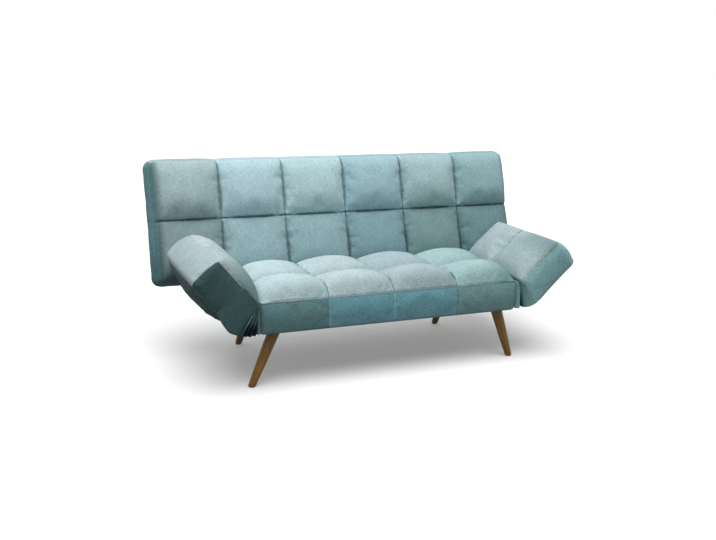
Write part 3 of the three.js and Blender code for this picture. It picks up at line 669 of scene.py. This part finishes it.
def seamDistance(pad, x, y, drop):
    toColumn, toRow = toSeams(pad, x, y)
    unsewn = 0 if pad["edgeSeam"] else padGrid["farAway"]
    toEdge = np.minimum(*fromEdges(pad, x, y)) + unsewn
    onTop = np.minimum(np.minimum(toColumn, toRow), toEdge)
    onSide = drop + unsewn
    crossed = isFront(pad, y, drop) & pad["boxingSeams"]
    onSide = np.where(crossed, np.minimum(onSide, toColumn), onSide)
    return byZone(drop, onTop, onSide, padGrid["farAway"])


# Creases that the filling leaves: lumps, folds beside the seams, a ripple under the edge
crease = {
    "lump": (0.085, 0.07),
    "fineLump": (0.033, 0.030),
    "fineLumpShare": 0.35,
    "bag": (0.055, 0.085),
    "fineBag": (0.024, 0.03),
    "bagShare": 0.16,
    "cell": 0.05,
    "reach": 0.020,
    "reachRun": 0.09,
    "fold": 0.0135,
    "fineFold": 0.0068,
    "foldShare": 1.9,
    "sewnFlat": 0.0045,  # puckers start this far from a seam
    "pinch": 0.0065,
    "ripple": 0.021,
    "rippleShare": 0.8,
    "rippleStart": 0.004,
    "rippleEnd": 0.02,
    "threadHalf": 0.0017,
    "threadTop": 0.003,
    "threadFoot": 0.02,
}


def finishPad(piece, pad):  # one subdivision, then the creases
    divide = piece.modifiers.new("smooth", "SUBSURF")
    divide.levels = divide.render_levels = 1
    divide.uv_smooth = "NONE"
    applyModifiers(piece)
    mesh = piece.data
    x, y, drop = (readValues(mesh, name) for name in flatNames)
    seed, band = pad["seed"], pad["band"]

    def mottled(size, number):
        return lumps(x / size[0], y / size[1], number)

    toColumn, toRow = toSeams(pad, x, y)
    inX, inY = fromEdges(pad, x, y)
    fade = rollOff(inX, band) * rollOff(inY, band)
    lift = pad["lump"] * mottled(crease["lump"], seed) * fade
    lift += crease["fineLumpShare"] * pad["lump"] * mottled(crease["fineLump"], seed + 9) * fade
    for distance, run, beside in ((toColumn, y, x), (toRow, x, y)):
        key = np.round(beside / crease["cell"])
        wide = 1.3 + 0.7 * wander(run / crease["reachRun"] + 3 * key, seed + 2)
        fold = wander(run / crease["fold"] + 7 * key + 12 * distance, seed + 3)
        fold += 0.5 * wander(run / crease["fineFold"] + 5 * key, seed + 4)
        sunk = np.exp(-distance / (crease["reach"] * wide))
        sunk = sunk * (1 - np.exp(-distance / crease["sewnFlat"]))
        lift += crease["foldShare"] * pad["pucker"] * fade * fold * sunk
        lift -= pad["pinch"] * fade * np.exp(-((distance / crease["pinch"]) ** 1.4))
    lift = np.where(drop < 1e-5, lift, 0)
    ripple = wander((x + y) / crease["ripple"] + 40 * (x > 0), seed + 6)
    ripple = ripple * np.exp(-drop / crease["rippleEnd"])
    ripple = pad["pucker"] * crease["rippleShare"] * ripple
    ripple = ripple * (1 - np.exp(-drop / crease["rippleStart"]))
    lift += np.where((drop > 0) & (drop < 0.5), ripple, 0)
    baggy = mottled(crease["bag"], seed + 7) + 0.5 * mottled(crease["fineBag"], 5)
    lift += np.where(drop > 0.5, pad["sag"] * crease["bagShare"] * baggy, 0)
    places = readPoints(mesh) + readPoints(mesh, "normal") * lift[:, None]
    mesh.vertices.foreach_set("co", places.ravel())
    along = np.where(toColumn < toRow, y, x)
    thread = (drop > crease["threadTop"]) & (drop < pad["edge"] - crease["threadFoot"])
    thread = thread & isFront(pad, y, drop)
    thread = thread & (nearestBound(x, pad["threads"]) < crease["threadHalf"])
    varied = np.clip(wander(along / crease["reachRun"] + 5 * np.round(x / 0.3), seed), 0, 1)
    # the painted shade at the seams is wider in places along each seam
    seam = seamDistance(pad, x, y, drop) / (1 + pad["seamShadeWidening"] * varied)
    writeValues(mesh, "seam", np.minimum(seam, padGrid["seamReach"]))
    writeValues(mesh, "along", along)
    writeValues(mesh, "thread", thread)
    writeValues(mesh, "paintedShade", pad["paintedShade"](x, y, drop))
    mesh.update()


def hollow(piece, boxes):  # room for the frame and the hinges, as (low, high) corners
    quads = ((0, 2, 3, 1), (4, 5, 7, 6), (0, 1, 5, 4), (2, 6, 7, 3), (0, 4, 6, 2), (1, 3, 7, 5))
    rooms = bpy.data.collections.new("rooms")
    for low, high in boxes:
        xs, ys, zs = zip(low, high)
        mesh = bpy.data.meshes.new("room")
        mesh.from_pydata([(x, y, z) for z in zs for y in ys for x in xs], [], quads)
        rooms.objects.link(bpy.data.objects.new("room", mesh))
    scene.collection.children.link(rooms)
    cut = piece.modifiers.new("hollow", "BOOLEAN")
    cut.operation = "DIFFERENCE"
    cut.solver = "EXACT"
    cut.operand_type = "COLLECTION"
    cut.collection = rooms
    applyModifiers(piece)
    for room in list(rooms.objects):
        bpy.data.objects.remove(room)
    bpy.data.collections.remove(rooms)


def buildPad(name, pad, place, body, node):
    piece = padMesh(name, pad)
    inflate(piece, pad)
    finishPad(piece, pad)
    hollow(piece, pad["rooms"])
    piece.data.transform(place)
    if place.determinant() < 0:
        piece.data.flip_normals()
    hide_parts(node)
    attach(piece, body)
    return piece


# Seat
seat = {"half": 0.606, "shift": 0.002, "depth": 0.505, "frontRow": 0.43, "skirtFront": 0.024}
seatRoom = {  # free space round what the cushion encloses, and how high the frame reaches into it
    "gap": 0.0003,
    "hingeGap": 0.0012,
    "below": 0.01,
    "beyond": 0.02,
    "overlap": 0.001,
    "leafTop": 0.3716,
    "bracketTop": 0.2822,
    "railLap": 0.005,
}
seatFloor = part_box("seat_cushion")[0].z
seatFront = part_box("seat_front_rail")[0].y - seat["skirtFront"]
seatMiddle = Vector((seat["shift"], seatFront + seat["depth"] / 2, seatFloor))
seatFrontCloths = ("boxingDeep", "boxingTeal", "boxingTeal", "boxingGreen")
signs = {"left": -1, "right": 1}


def inSeat(xs, ys, top):  # a room up to that height, in the frame that the seat pad is drawn in
    low, high = zip(xs, ys, (seatFloor - seatRoom["below"], top))
    return tuple(Vector(low) - seatMiddle), tuple(Vector(high) - seatMiddle)


def seatRooms():
    gap, hingeGap = seatRoom["gap"], seatRoom["hingeGap"]
    rails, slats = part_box("seat_left_rail"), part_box("seat_slat_1")
    xs, ys = (rails[0].x - gap, -rails[0].x + gap), (rails[0].y - gap, rails[1].y + gap)
    rooms = [inSeat(xs, ys, slats[1].z + gap)]
    for side, sign in signs.items():
        inner, outer = abs(rails[0].x) - seatRoom["overlap"], seat["half"] + seatRoom["beyond"]
        xs = sorted((sign * inner, sign * outer))
        for end in ("front", "rear"):
            low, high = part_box(side + "_arm_seat_leaf_" + end)
            rooms.append(inSeat(xs, (low.y - hingeGap, high.y + hingeGap), seatRoom["leafTop"]))
        low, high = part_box(side + "_seat_bracket")
        ys = (rails[1].y - seatRoom["railLap"], seatFront + seat["depth"] + seatRoom["beyond"])
        rooms.append(inSeat((low.x - hingeGap, high.x + hingeGap), ys, seatRoom["bracketTop"]))
    return rooms


def seatPaintedShade(x, y, drop):  # painted shade: the squares darken to the front and the right, and behind the seam
    front, seam = seatPad["rows"][:2]
    behind = np.where(y > seam, 0.34 * np.exp(-np.abs(y - seam) / 0.038), 0)
    ahead = 0.22 * (1 - easeIn((y - front) / 0.10)) * (y < seam)
    across = cellShare(x, seatPad["columns"])[0]
    aside = 0.13 * easeIn(across) + 0.24 * easeIn((x - 0.42) / 0.19)
    return np.where(drop > 0, 0, np.minimum(behind + ahead + aside, 0.5))


seatPad = {
    **plainPad,
    "columns": [-seat["half"], -0.307, -0.006, 0.301, seat["half"]],
    "rows": [-seat["depth"] / 2, seat["depth"] * (seat["frontRow"] - 0.5), seat["depth"] / 2],
    "edge": 0.137,
    "swell": 0.045,
    "crown": 0.031,
    "uneven": 0.18,
    "band": 0.092,
    "soft": 1.5,
    "domes": ((2.0, 0.15), (2.2, 0.2)),
    "fillet": 0.003,
    "round": (0.003, 0.003),
    "pinch": 0.005,
    "seamShadeWidening": 0.3,
    "pucker": 0.0010,
    "lump": 0.0015,
    "corner": 0.020,
    "bulges": (0, 0, 0.008, 0.0),
    "turned": 0.012,
    "seed": 3,
    "edgeSeam": True,
    "boxingSeams": True,
    "threads": [-0.307, -0.006],
    "paintedShade": seatPaintedShade,
    "top": [["mist", "pearl", "greyMist", "seaGlass"]] * 2,
    "sides": ("boxingGreen", "boxingGreen", seatFrontCloths, "boxingGreen"),
}


def addSeatCushion():
    seatPad["rooms"] = seatRooms()
    buildPad("seatCushion", seatPad, Matrix.Translation(seatMiddle), "seat", "seat_cushion")


# Back, drawn flat and then stood up about its pivot
back = {
    "width": 1.830,
    "height": 0.559,
    "recline": 16,
    "pivotUp": 0.0405,
    "rear": 0.0955,
    "frontRow": 0.506,
}
backRoom = {  # across, behind the pivot and above it
    "frame": ((-0.8843, 0.8843), (0.0414, 0.110), (0.0307, 0.4938)),
    "hingeMiddle": 0.56205,
    "hingeHalf": 0.015,
    "hinge": (((-0.029, 0.110), (-0.060, 0.031)), ((-0.029, 0.044), (-0.060, 0.066))),
    "plate": ((0.5552, 0.5626), (-0.0142, 0.044), (0, 0.1912)),
}
backCloths = ("greyAqua", "blueAqua", "greenAqua", "blueTeal", "greyGreen", "fadedTeal")
# the lower row takes the darker copies, as painted shade
backShadedLowCloths = [name + "Low" for name in backCloths]
backLean = Matrix.Rotation(-math.radians(back["recline"]), 4, "X")
backStand = Matrix.Translation(joints["back_recline"]["pos_m"]) @ backLean


def backPlace():
    shift = Matrix.Translation((0, back["rear"], back["height"] / 2 - back["pivotUp"]))
    return backStand @ shift @ Matrix.Rotation(math.pi / 2, 4, "X")


def inBack(xs, behind, above):  # from distances behind and above the pivot to the pad's frame
    middle = back["height"] / 2 - back["pivotUp"]
    low = (xs[0], above[0] - middle, back["rear"] - behind[1])
    high = (xs[1], above[1] - middle, back["rear"] - behind[0])
    return low, high


def backRooms():
    rooms = [inBack(*backRoom["frame"])]
    plate, behind, above = backRoom["plate"]
    for sign in signs.values():
        middle = sign * backRoom["hingeMiddle"]
        wide = (middle - backRoom["hingeHalf"], middle + backRoom["hingeHalf"])
        rooms += [inBack(wide, *reach) for reach in backRoom["hinge"]]
        rooms.append(inBack(sorted(sign * x for x in plate), behind, above))
    return rooms


def backPaintedShade(x, y, drop):  # painted shade: darker over the rolled ends, most on the left, and along the lower edge, most behind the left arm
    toEnd, up = back["width"] / 2 - np.abs(x), y + back["height"] / 2
    left = np.where(x < 0, 0.50, 0.35) + 0.2 * (1 - easeIn(up / 0.25)) * (x < 0)
    ends = left * (1 - easeIn((toEnd - 0.004) / 0.040))
    corner = x < -0.75
    low = np.where(corner, 0.60, 0.45) * (1 - easeIn(up / np.where(corner, 0.09, 0.05)))
    onSide = np.where(toEnd < 0.002, left, np.where(up < 0.002, 0.5, 0.1))
    return np.where(drop > 0, onSide, np.maximum(ends, low))


backPad = {
    **plainPad,
    "columns": [-0.915, -0.612, -0.304, 0.002, 0.3085, 0.611, 0.915],
    "rows": [-back["height"] / 2, back["height"] * (back["frontRow"] - 0.5), back["height"] / 2],
    "edge": 0.112,
    "swell": 0.026,
    "crown": 0.042,
    "uneven": 0.15,
    "band": 0.080,
    "domes": ((2.2, 0.35), (2.0, 0.08)),
    "fillet": 0.022,
    "round": (0.040, 0.018),
    "pinch": 0.008,
    "seamShadeWidening": 0.8,
    "droop": 0.28,
    "pucker": 0.0008,
    "lump": 0.0018,
    "corner": 0.030,
    "drawIn": (0.002, 0.003),
    "bulges": (0.021, 0.016, 0.008, 0.014),
    "turned": 0.010,
    "seed": 11,
    "paintedShade": backPaintedShade,
    "endCloth": "endTeal",
    "endBand": 0.010,
    "top": [backShadedLowCloths, backCloths],
    "sides": ("endTeal", "fadedTeal", backShadedLowCloths, backCloths),
    "under": "greyGreen",
}


def addBackCushion():
    backPad["rooms"] = backRooms()
    buildPad("backCushion", backPad, backPlace(), "back", "back_cushion")


# Arms, drawn for the right side and mirrored for the left
arm = {
    "length": 0.258,
    "depth": 0.536,
    "pivotGap": 0.009,
    "overhang": 0.028,
    "seamAbovePivot": 0.007,
    "edge": 0.154,
    "rise": {"left": 51, "right": 43},
}
armRoom = {  # out from the pivot, back and up
    "board": ((0.0167, 0.2433), (-0.0043, 0.4843), (-0.133, -0.1111)),
    "hinge": ((-0.02, 0.017), (-0.133, 0.0006)),
    "hingeMiddles": (0.0808, 0.4242),
    "hingeHalf": 0.0232,
}
armShift = (
    arm["pivotGap"] + arm["length"] / 2,
    arm["depth"] / 2 - arm["overhang"],
    arm["seamAbovePivot"] - arm["edge"],
)


def leftArmPaintedShade(x, y, drop):  # painted shade, darker toward the seat and more so toward the front
    inward = (arm["length"] / 2 - x) / arm["length"]
    front = easeIn((0.02 - y) / 0.10)
    return np.where(drop > 0, 0, (0.26 + 0.26 * front) * easeIn((inward - 0.05) / 0.7))


def rightArmPaintedShade(x, y, drop):  # painted shade, darker at the outer front corner
    outward = (arm["length"] / 2 + x) / arm["length"]
    return np.where(drop > 0, 0, 0.34 * easeIn((outward - 0.40) / 0.5) * easeIn(-y / 0.16))


def inArm(xs, ys, zs):  # from the arm's pivot frame to the frame that its pad is drawn in
    low, high = zip(xs, ys, zs)
    return tuple(np.subtract(low, armShift)), tuple(np.subtract(high, armShift))


def armPivot(side):
    return Vector(joints[side + "_arm_tilt"]["pos_m"])


def armRooms():
    rooms = [inArm(*armRoom["board"])]
    out, up = armRoom["hinge"]
    for middle in armRoom["hingeMiddles"]:
        ys = (middle - armRoom["hingeHalf"], middle + armRoom["hingeHalf"])
        rooms.append(inArm(out, ys, up))
    return rooms


armPad = {
    **plainPad,
    "columns": [-arm["length"] / 2, arm["length"] / 2],
    "spacing": 0.0115,
    "edge": arm["edge"],
    "swell": 0.014,
    "uneven": 0.1,
    "band": 0.090,
    "domes": ((2.2, 0.2), (2.2, 0.2)),
    "fillet": 0.012,
    "round": (0.013, 0.018),
    "pinch": 0.006,
    "seamShadeWidening": 0.6,
    "pucker": 0.0011,
    "lump": 0.0018,
    "corner": 0.024,
    "drawIn": (0, 0.005),
    "bulges": (0, 0.015, 0.006, 0.0),
    "turned": 0.022,
    "sag": 0.034,
    "cap": 0.010,
    "fill": 0.7,
}
armPads = {
    "left": {
        "rows": [-arm["depth"] / 2, -0.010, arm["depth"] / 2],
        "crown": 0.034,
        "seed": 5,
        "paintedShade": leftArmPaintedShade,
        "top": [["armShade"], ["armPale"]],
        "sides": ("armShade", "armPearl", "slate", "armAqua"),
    },
    "right": {
        "rows": [-arm["depth"] / 2, 0.027, arm["depth"] / 2],
        "crown": 0.022,
        "seed": 8,
        "paintedShade": rightArmPaintedShade,
        "top": [["armAqua"], ["armPearl"]],
        "sides": ("armShade", "armAqua", "armTeal", "armAqua"),
    },
}


def addArmCushion(side, sign):
    pad = {**armPad, **armPads[side], "rooms": armRooms()}
    pivot = armPivot(side)
    place = (
        Matrix.Translation((pivot.x, seatFront, pivot.z))
        @ Matrix.Rotation(-sign * math.radians(arm["rise"][side]), 4, "Y")
        @ Matrix.Diagonal((sign, 1, 1, 1))
        @ Matrix.Translation(armShift)
    )
    buildPad(side + "ArmCushion", pad, place, side + "_arm", side + "_arm_cushion")


# Legs
leg = {
    "sides": 40,
    "courses": 14,
    "topRadius": 0.026,
    "waistShare": 0.55,
    "waistRadius": 0.021,
    "footRadius": 0.0155,
    "topGap": 0.0003,
    "topChamfer": (0.001, 0.0008),  # down and in
    "glide": 0.0043,
    "chamfer": 0.002,
    "grainWide": 0.13,
    "grainEnd": 0.01,
}
legPlaces = {  # on the right: middle of the top behind the seat's front, and the way to the foot
    "front": ((0.534, 0.044), (0.094, 0.018)),
    "rear": ((0.510, 0.486), (0.020, 0.154)),
}
walnutShader = {
    "Roughness": 0.5,
    "Specular IOR Level": 0.3,
    "Coat Weight": 0.12,
    "Coat Roughness": 0.3,
}


def walnut():
    finish, tree, shader = newFinish("walnut", walnutShader)
    place = uvNode(tree, "grain")
    grain = noiseNode(tree, place, 180, 5, (1, 0.05, 1))
    streak = noiseNode(tree, place, 45, 3, (1, 0.08, 1))
    both = mathNode(tree, "MULTIPLY_ADD", streak, 0.8, grain)
    colour = rampNode(tree, both, 0.62, (0.036, 0.018, 0.002), 1.0, (0.325, 0.160, 0.018))
    split = addNode(tree, "SeparateXYZ", {0: place})
    # painted shade under the seat: the leg is drawn darker toward its top
    paintedShadeUnderSeat = rangeNode(tree, split.outputs[1], 0.10, 0.235, 1, 0.5)  # darker toward the top
    colour = shaded(tree, colour, paintedShadeUnderSeat, paintedShadeUnderSeat)
    setInputs(tree, shader, {"Base Color": colour, "Normal": bumpNode(tree, grain, 0.15, 0.0005)})
    return finish


def legRadius(share):
    top, waist, foot = leg["topRadius"], leg["waistRadius"], leg["footRadius"]
    bend = leg["waistShare"]
    if share < bend:
        return top + (waist - top) * share / bend
    return waist + (foot - waist) * (share - bend) / (1 - bend)


def addLeg(end, side, sign, finish):
    (topX, topBack), (outX, outY) = legPlaces[end]
    top = Vector((sign * topX, seatFront + topBack))
    out = Vector((sign * outX, outY))
    topZ, footZ = seatFloor - leg["topGap"], leg["glide"]
    lean = math.atan2(math.hypot(*out), seatFloor)
    toward = out.normalized()
    aside = Vector((-toward.y, toward.x))
    chamfer, courses, sides = leg["chamfer"], leg["courses"], leg["sides"]
    topDown, topIn = leg["topChamfer"]
    heights = [topZ - (topZ - footZ) * k / courses for k in range(1, courses)]
    steps = [(topZ, topIn), (topZ - topDown, 0)] + [(z, 0) for z in heights]
    steps += [(footZ + chamfer, 0), (footZ + chamfer * 0.3, chamfer * 0.3), (footZ, chamfer)]
    points, faces, uvs = [], [], []
    for z, inset in steps:
        radius = legRadius((topZ - z) / (topZ - footZ)) - inset
        centre = top + out * (topZ - z) / seatFloor
        for k in range(sides):
            turn = turnFull * k / sides
            flat = centre + toward * math.cos(turn) * radius / math.cos(lean)
            flat += aside * math.sin(turn) * radius
            points.append((flat.x, flat.y, z))
    for j in range(len(steps) - 1):
        high, low = steps[j][0], steps[j + 1][0]
        for k in range(sides):
            n = (k + 1) % sides
            a, b = j * sides, (j + 1) * sides
            faces.append((a + k, b + k, b + n, a + n))
            left, right = leg["grainWide"] * k / sides, leg["grainWide"] * (k + 1) / sides
            uvs += [(left, high), (left, low), (right, low), (right, high)]
    last = (len(steps) - 1) * sides
    faces += [tuple(range(sides)), tuple(last + k for k in reversed(range(sides)))]
    wide = leg["grainEnd"]
    uvs += [(wide * math.cos(k), wide * math.sin(k)) for k in range(sides)] * 2
    name = end + "_" + side
    piece = newPiece(name + "_turned_leg", points, faces)
    dressMesh(piece.data, "grain", uvs, [finish])
    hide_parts(name + "_leg")
    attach(piece, "seat")


# Gussets of cloth gathered between the seat and each arm. Each course runs from beside the
# seat to the arm: outward from the seat, share of the way to the arm, ahead of the seat's front,
# and how much lower its rim hangs. "high" is the height beside the seat and at the arm.
gusset = {
    "top": -0.005,
    "steps": 120,
    "rise": 30,
    "thick": 0.0009,
    "flatHigh": 0.13,
    "armEnd": 0.07,
    "left": {
        "near": 0.0084,
        "high": (0.129, 0.165),
        "course": [
            (0, 0, -0.045, 0), (0, 0, -0.012, 0), (0.002, 0, -0.003, 0), (0.009, 0, -0.001, 0),
            (0.012, 0.02, -0.010, 0), (0.006, 0.15, 0, 0), (0, 0.36, 0.010, 0),
            (0, 0.56, 0.020, 0), (0.004, 0.72, 0.031, 0), (0.004, 0.85, 0.036, 0),
            (0.004, 1.0, 0.0375, 0), (0.03, 1.0, 0.0372, 0), (0.065, 1.0, 0.0360, -0.005),
            (0.100, 1.0, 0.0315, -0.015),
        ],
        "folds": 5.0, "foldEnd": 0.82, "fold": 0.018, "sag": 0.010,
        "cloths": ("gathered", "slate"), "change": 0.76, "paintedShade": 0.94, "paintedShadeEnd": 0.76,
    },
    "right": {
        "near": 0.0040,
        "high": (0.129, 0.131),
        "course": [
            (0, 0, -0.060, 0), (0.004, 0, -0.026, 0), (0.013, 0, -0.007, 0),
            (0.024, 0, -0.002, -0.002), (0.029, 0, -0.012, -0.004), (0.0295, 0.02, -0.05, -0.004),
            (0.027, 0.16, -0.05, -0.003), (0.014, 0.30, -0.008, 0), (0.008, 0.5, 0.020, 0),
            (0.004, 0.8, 0.034, 0), (0.004, 1.0, 0.0375, 0), (0.018, 1.02, 0.0375, 0),
        ],
        "folds": 0, "foldEnd": 1, "fold": 0, "sag": 0.012,
        "cloths": ("armTeal", "armTeal"), "change": 0.5, "paintedShade": 0.88, "paintedShadeEnd": 0.36,
    },
}


def gridRows(rise, steps, point):  # from shares of the way across and up
    return [[point(i / steps, j / rise) for i in range(steps + 1)] for j in range(rise + 1)]


def clothSheet(name, rows, finishes, flip=False, patches=None):
    points = [point for row in rows for point in row]
    faces, uvs = [], []
    lengths = [0.0]
    for a, b in zip(rows, rows[1:]):
        lengths.append(lengths[-1] + (Vector(b[0]) - Vector(a[0])).length)
    for j, i, (a, b, c, d) in quadsOf(len(rows[0]), len(rows)):
        run = 0.0 if i == 0 else run + step
        step = (Vector(rows[j][i + 1]) - Vector(rows[j][i])).length
        low, high = lengths[j], lengths[j + 1]
        quad = (a, d, c, b)
        corners = ((run, low), (run, high), (run + step, high), (run + step, low))
        faces.append(quad[::-1] if flip else quad)
        uvs += corners[::-1] if flip else corners
    piece = newPiece(name, points, faces)
    dressMesh(piece.data, "cloth", uvs, finishes, patches)
    writeValues(piece.data, "seam", np.full(len(points), padGrid["seamReach"]))
    return piece


def thicken(piece, thick):
    solid = piece.modifiers.new("thick", "SOLIDIFY")
    solid.thickness = thick
    solid.offset = -1
    applyModifiers(piece)


def alongCourse(course, a):  # a smooth line through the points of a course
    points = [course[0], *course, course[-1]]
    at = a * (len(course) - 1)
    k = min(int(at), len(course) - 2)
    t = at - k
    p = np.array(points[k : k + 4], float)
    slope = (p[2] - p[0]) / 2, (p[3] - p[1]) / 2
    bent = (2 * t**3 - 3 * t**2 + 1) * p[1] + (t**3 - 2 * t**2 + t) * slope[0]
    return bent + (3 * t**2 - 2 * t**3) * p[2] + (t**3 - t**2) * slope[1]


def gussetPoint(side, a, b):  # its place, its painted shade, and its share of the way to the arm
    spec = gusset[side]
    turn = math.radians(arm["rise"][side])
    pivot = armPivot(side)
    near = spec["near"]
    outward, share, ahead, extra = alongCourse(spec["course"], a)
    level = min(1, max(0, share))
    high = spec["high"]
    down = gusset["top"] + b * (high[0] + (high[1] - high[0]) * level + extra)
    armX = arm["pivotGap"] * math.cos(turn) + down * math.sin(turn)
    armZ = arm["pivotGap"] * math.sin(turn) - down * math.cos(turn)
    x = -near + outward * math.cos(turn * level) + (armX + near) * share
    z = -down + outward * math.sin(turn * level) + (armZ + down) * share
    z -= spec["sag"] * b * b * math.sin(math.pi * level) ** 0.6
    way = min(1, level / spec["foldEnd"])
    phase = spec["folds"] * (way + 0.07 * math.sin(6 * way + 1.5 * b) + 0.03 * b)
    folded = math.sin(turnFull * phase)
    bunched = math.sin(math.pi * way) ** 0.7
    free = min(1, 1.8 * b) * (1 - 0.55 * easeIn((b - 0.7) / 0.3))
    y = -ahead - spec["fold"] * free * bunched * folded
    # painted shade: dark in the fold valleys and toward the hem, fading out toward the arm
    deep = bunched * (0.5 - 0.5 * folded) if spec["folds"] else 1
    dark = max(deep, easeIn((b - 0.25) / 0.6)) * min(1, 40 * level)
    paintedShade = spec["paintedShade"] * dark * (1 - easeIn((level / spec["paintedShadeEnd"] - 0.75) / 0.5))
    return (pivot.x + signs[side] * x, seatFront + y, pivot.z + z), paintedShade, level


def addGusset(side, sign):
    spec, rise, steps = gusset[side], gusset["rise"], gusset["steps"]
    grid = gridRows(rise, steps, lambda a, b: gussetPoint(side, a, b))
    rows = [[place for place, _, _ in row] for row in grid]
    pair = [cloths[cloth] for cloth in spec["cloths"]]
    patches = [int(level > spec["change"]) for _, _, level in grid[0][:-1]]
    name = side + "Gusset"
    piece = clothSheet(name, rows, pair, sign < 0, patches * rise)
    writeValues(piece.data, "paintedShade", [paintedShade for row in grid for _, paintedShade, _ in row])
    thicken(piece, gusset["thick"])
    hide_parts(side + "_gusset")
    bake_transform(piece)


# Cover of stretched cloth behind the back
cover = {
    "halfWide": 0.884,
    "low": 0.031,
    "top": 0.4935,
    "behind": 0.0872,
    "puff": 0.004,
    "thick": 0.0016,
    "lump": (0.16, 0.12),
}


def coverPoint(a, b):
    x = cover["halfWide"] * (2 * a - 1)
    z = cover["low"] + (cover["top"] - cover["low"]) * b
    soft = min(1, 14 * min(a, 1 - a)) ** 0.5 * min(1, 5 * min(b, 1 - b)) ** 0.5
    lumpX, lumpZ = cover["lump"]
    pulls = lumps(np.array([x / lumpX]), np.array([z / lumpZ]), 21)[0]
    y = cover["behind"] + soft * (cover["puff"] * (1 + 0.5 * pulls))
    return tuple(backStand @ Vector((x, y, z)))


def addRearCover():
    rows = gridRows(40, 120, coverPoint)
    piece = clothSheet("rearCover", rows, [cloths["greyGreenLow"]], True)
    thicken(piece, cover["thick"])
    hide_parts("back_rear_cover")
    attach(piece, "back")


# Cambric under the seat
cambric = {"gap": 0.0002, "hang": 0.006, "wave": 0.0014, "lump": (0.11, 0.09), "thick": 0.0008}


def addBaseCloth():
    low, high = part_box("seat_base_cloth")

    def point(a, b):
        x = low.x + (high.x - low.x) * a
        y = low.y + (high.y - low.y) * b
        soft = math.sin(math.pi * a) ** 0.5 * math.sin(math.pi * b) ** 0.5
        lumpX, lumpY = cambric["lump"]
        wave = lumps(np.array([x / lumpX]), np.array([y / lumpY]), 33)[0]
        z = high.z - cambric["gap"] - cambric["hang"] * soft - cambric["wave"] * soft * wave
        return x, y, z

    finish = plainFinish("cambric", (0.018, 0.018, 0.02), 0.95)
    piece = clothSheet("baseCloth", gridRows(30, 72, point), [finish])
    thicken(piece, cambric["thick"])
    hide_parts("seat_base_cloth")
    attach(piece, "seat")


def plainFinish(name, colour, roughness, metallic=0.0):
    finish, tree, shader = newFinish(name, {"Metallic": metallic})
    coords = addNode(tree, "TexCoord", {})
    speck = noiseNode(tree, coords.outputs["Object"], 120, 4)
    dark, light = [c * 0.8 for c in colour], [min(1, c * 1.15) for c in colour]
    tone = rampNode(tree, speck, 0.3, dark, 0.7, light)
    rough = rangeNode(tree, speck, 0.3, 0.7, roughness * 0.85, roughness * 1.15)
    setInputs(tree, shader, {"Base Color": tone, "Roughness": rough})
    return finish


def dressNodes():
    finishes = {
        "steel": plainFinish("blackedSteel", (0.055, 0.056, 0.060), 0.42, 0.85),
        "frame_wood": plainFinish("sawnPine", (0.60, 0.42, 0.24), 0.75),
        "nylon": plainFinish("nylon", (0.02, 0.02, 0.021), 0.5),
        "base_cloth": plainFinish("webbing", (0.10, 0.09, 0.075), 0.9),
    }
    slots = {s["node"]: s["material_slot"] for s in frame["record"]["subparts"]}
    for name, node in frame["nodes"].items():
        if node.hide_render or slots[name] not in finishes:
            continue
        for place in node.material_slots:
            place.material = finishes[slots[name]]


addCamera()
addOverhead()
addWorld()
addFloor()
print("stage ready")
addSeatCushion()
addBackCushion()
for side, sign in signs.items():
    addArmCushion(side, sign)
print("cushions ready")
wood = walnut()
for end in legPlaces:
    for side, sign in signs.items():
        addLeg(end, side, sign, wood)
for side, sign in signs.items():
    addGusset(side, sign)
addRearCover()
addBaseCloth()
dressNodes()
print("frame dressed")
scene.view_settings.view_transform = "Standard"
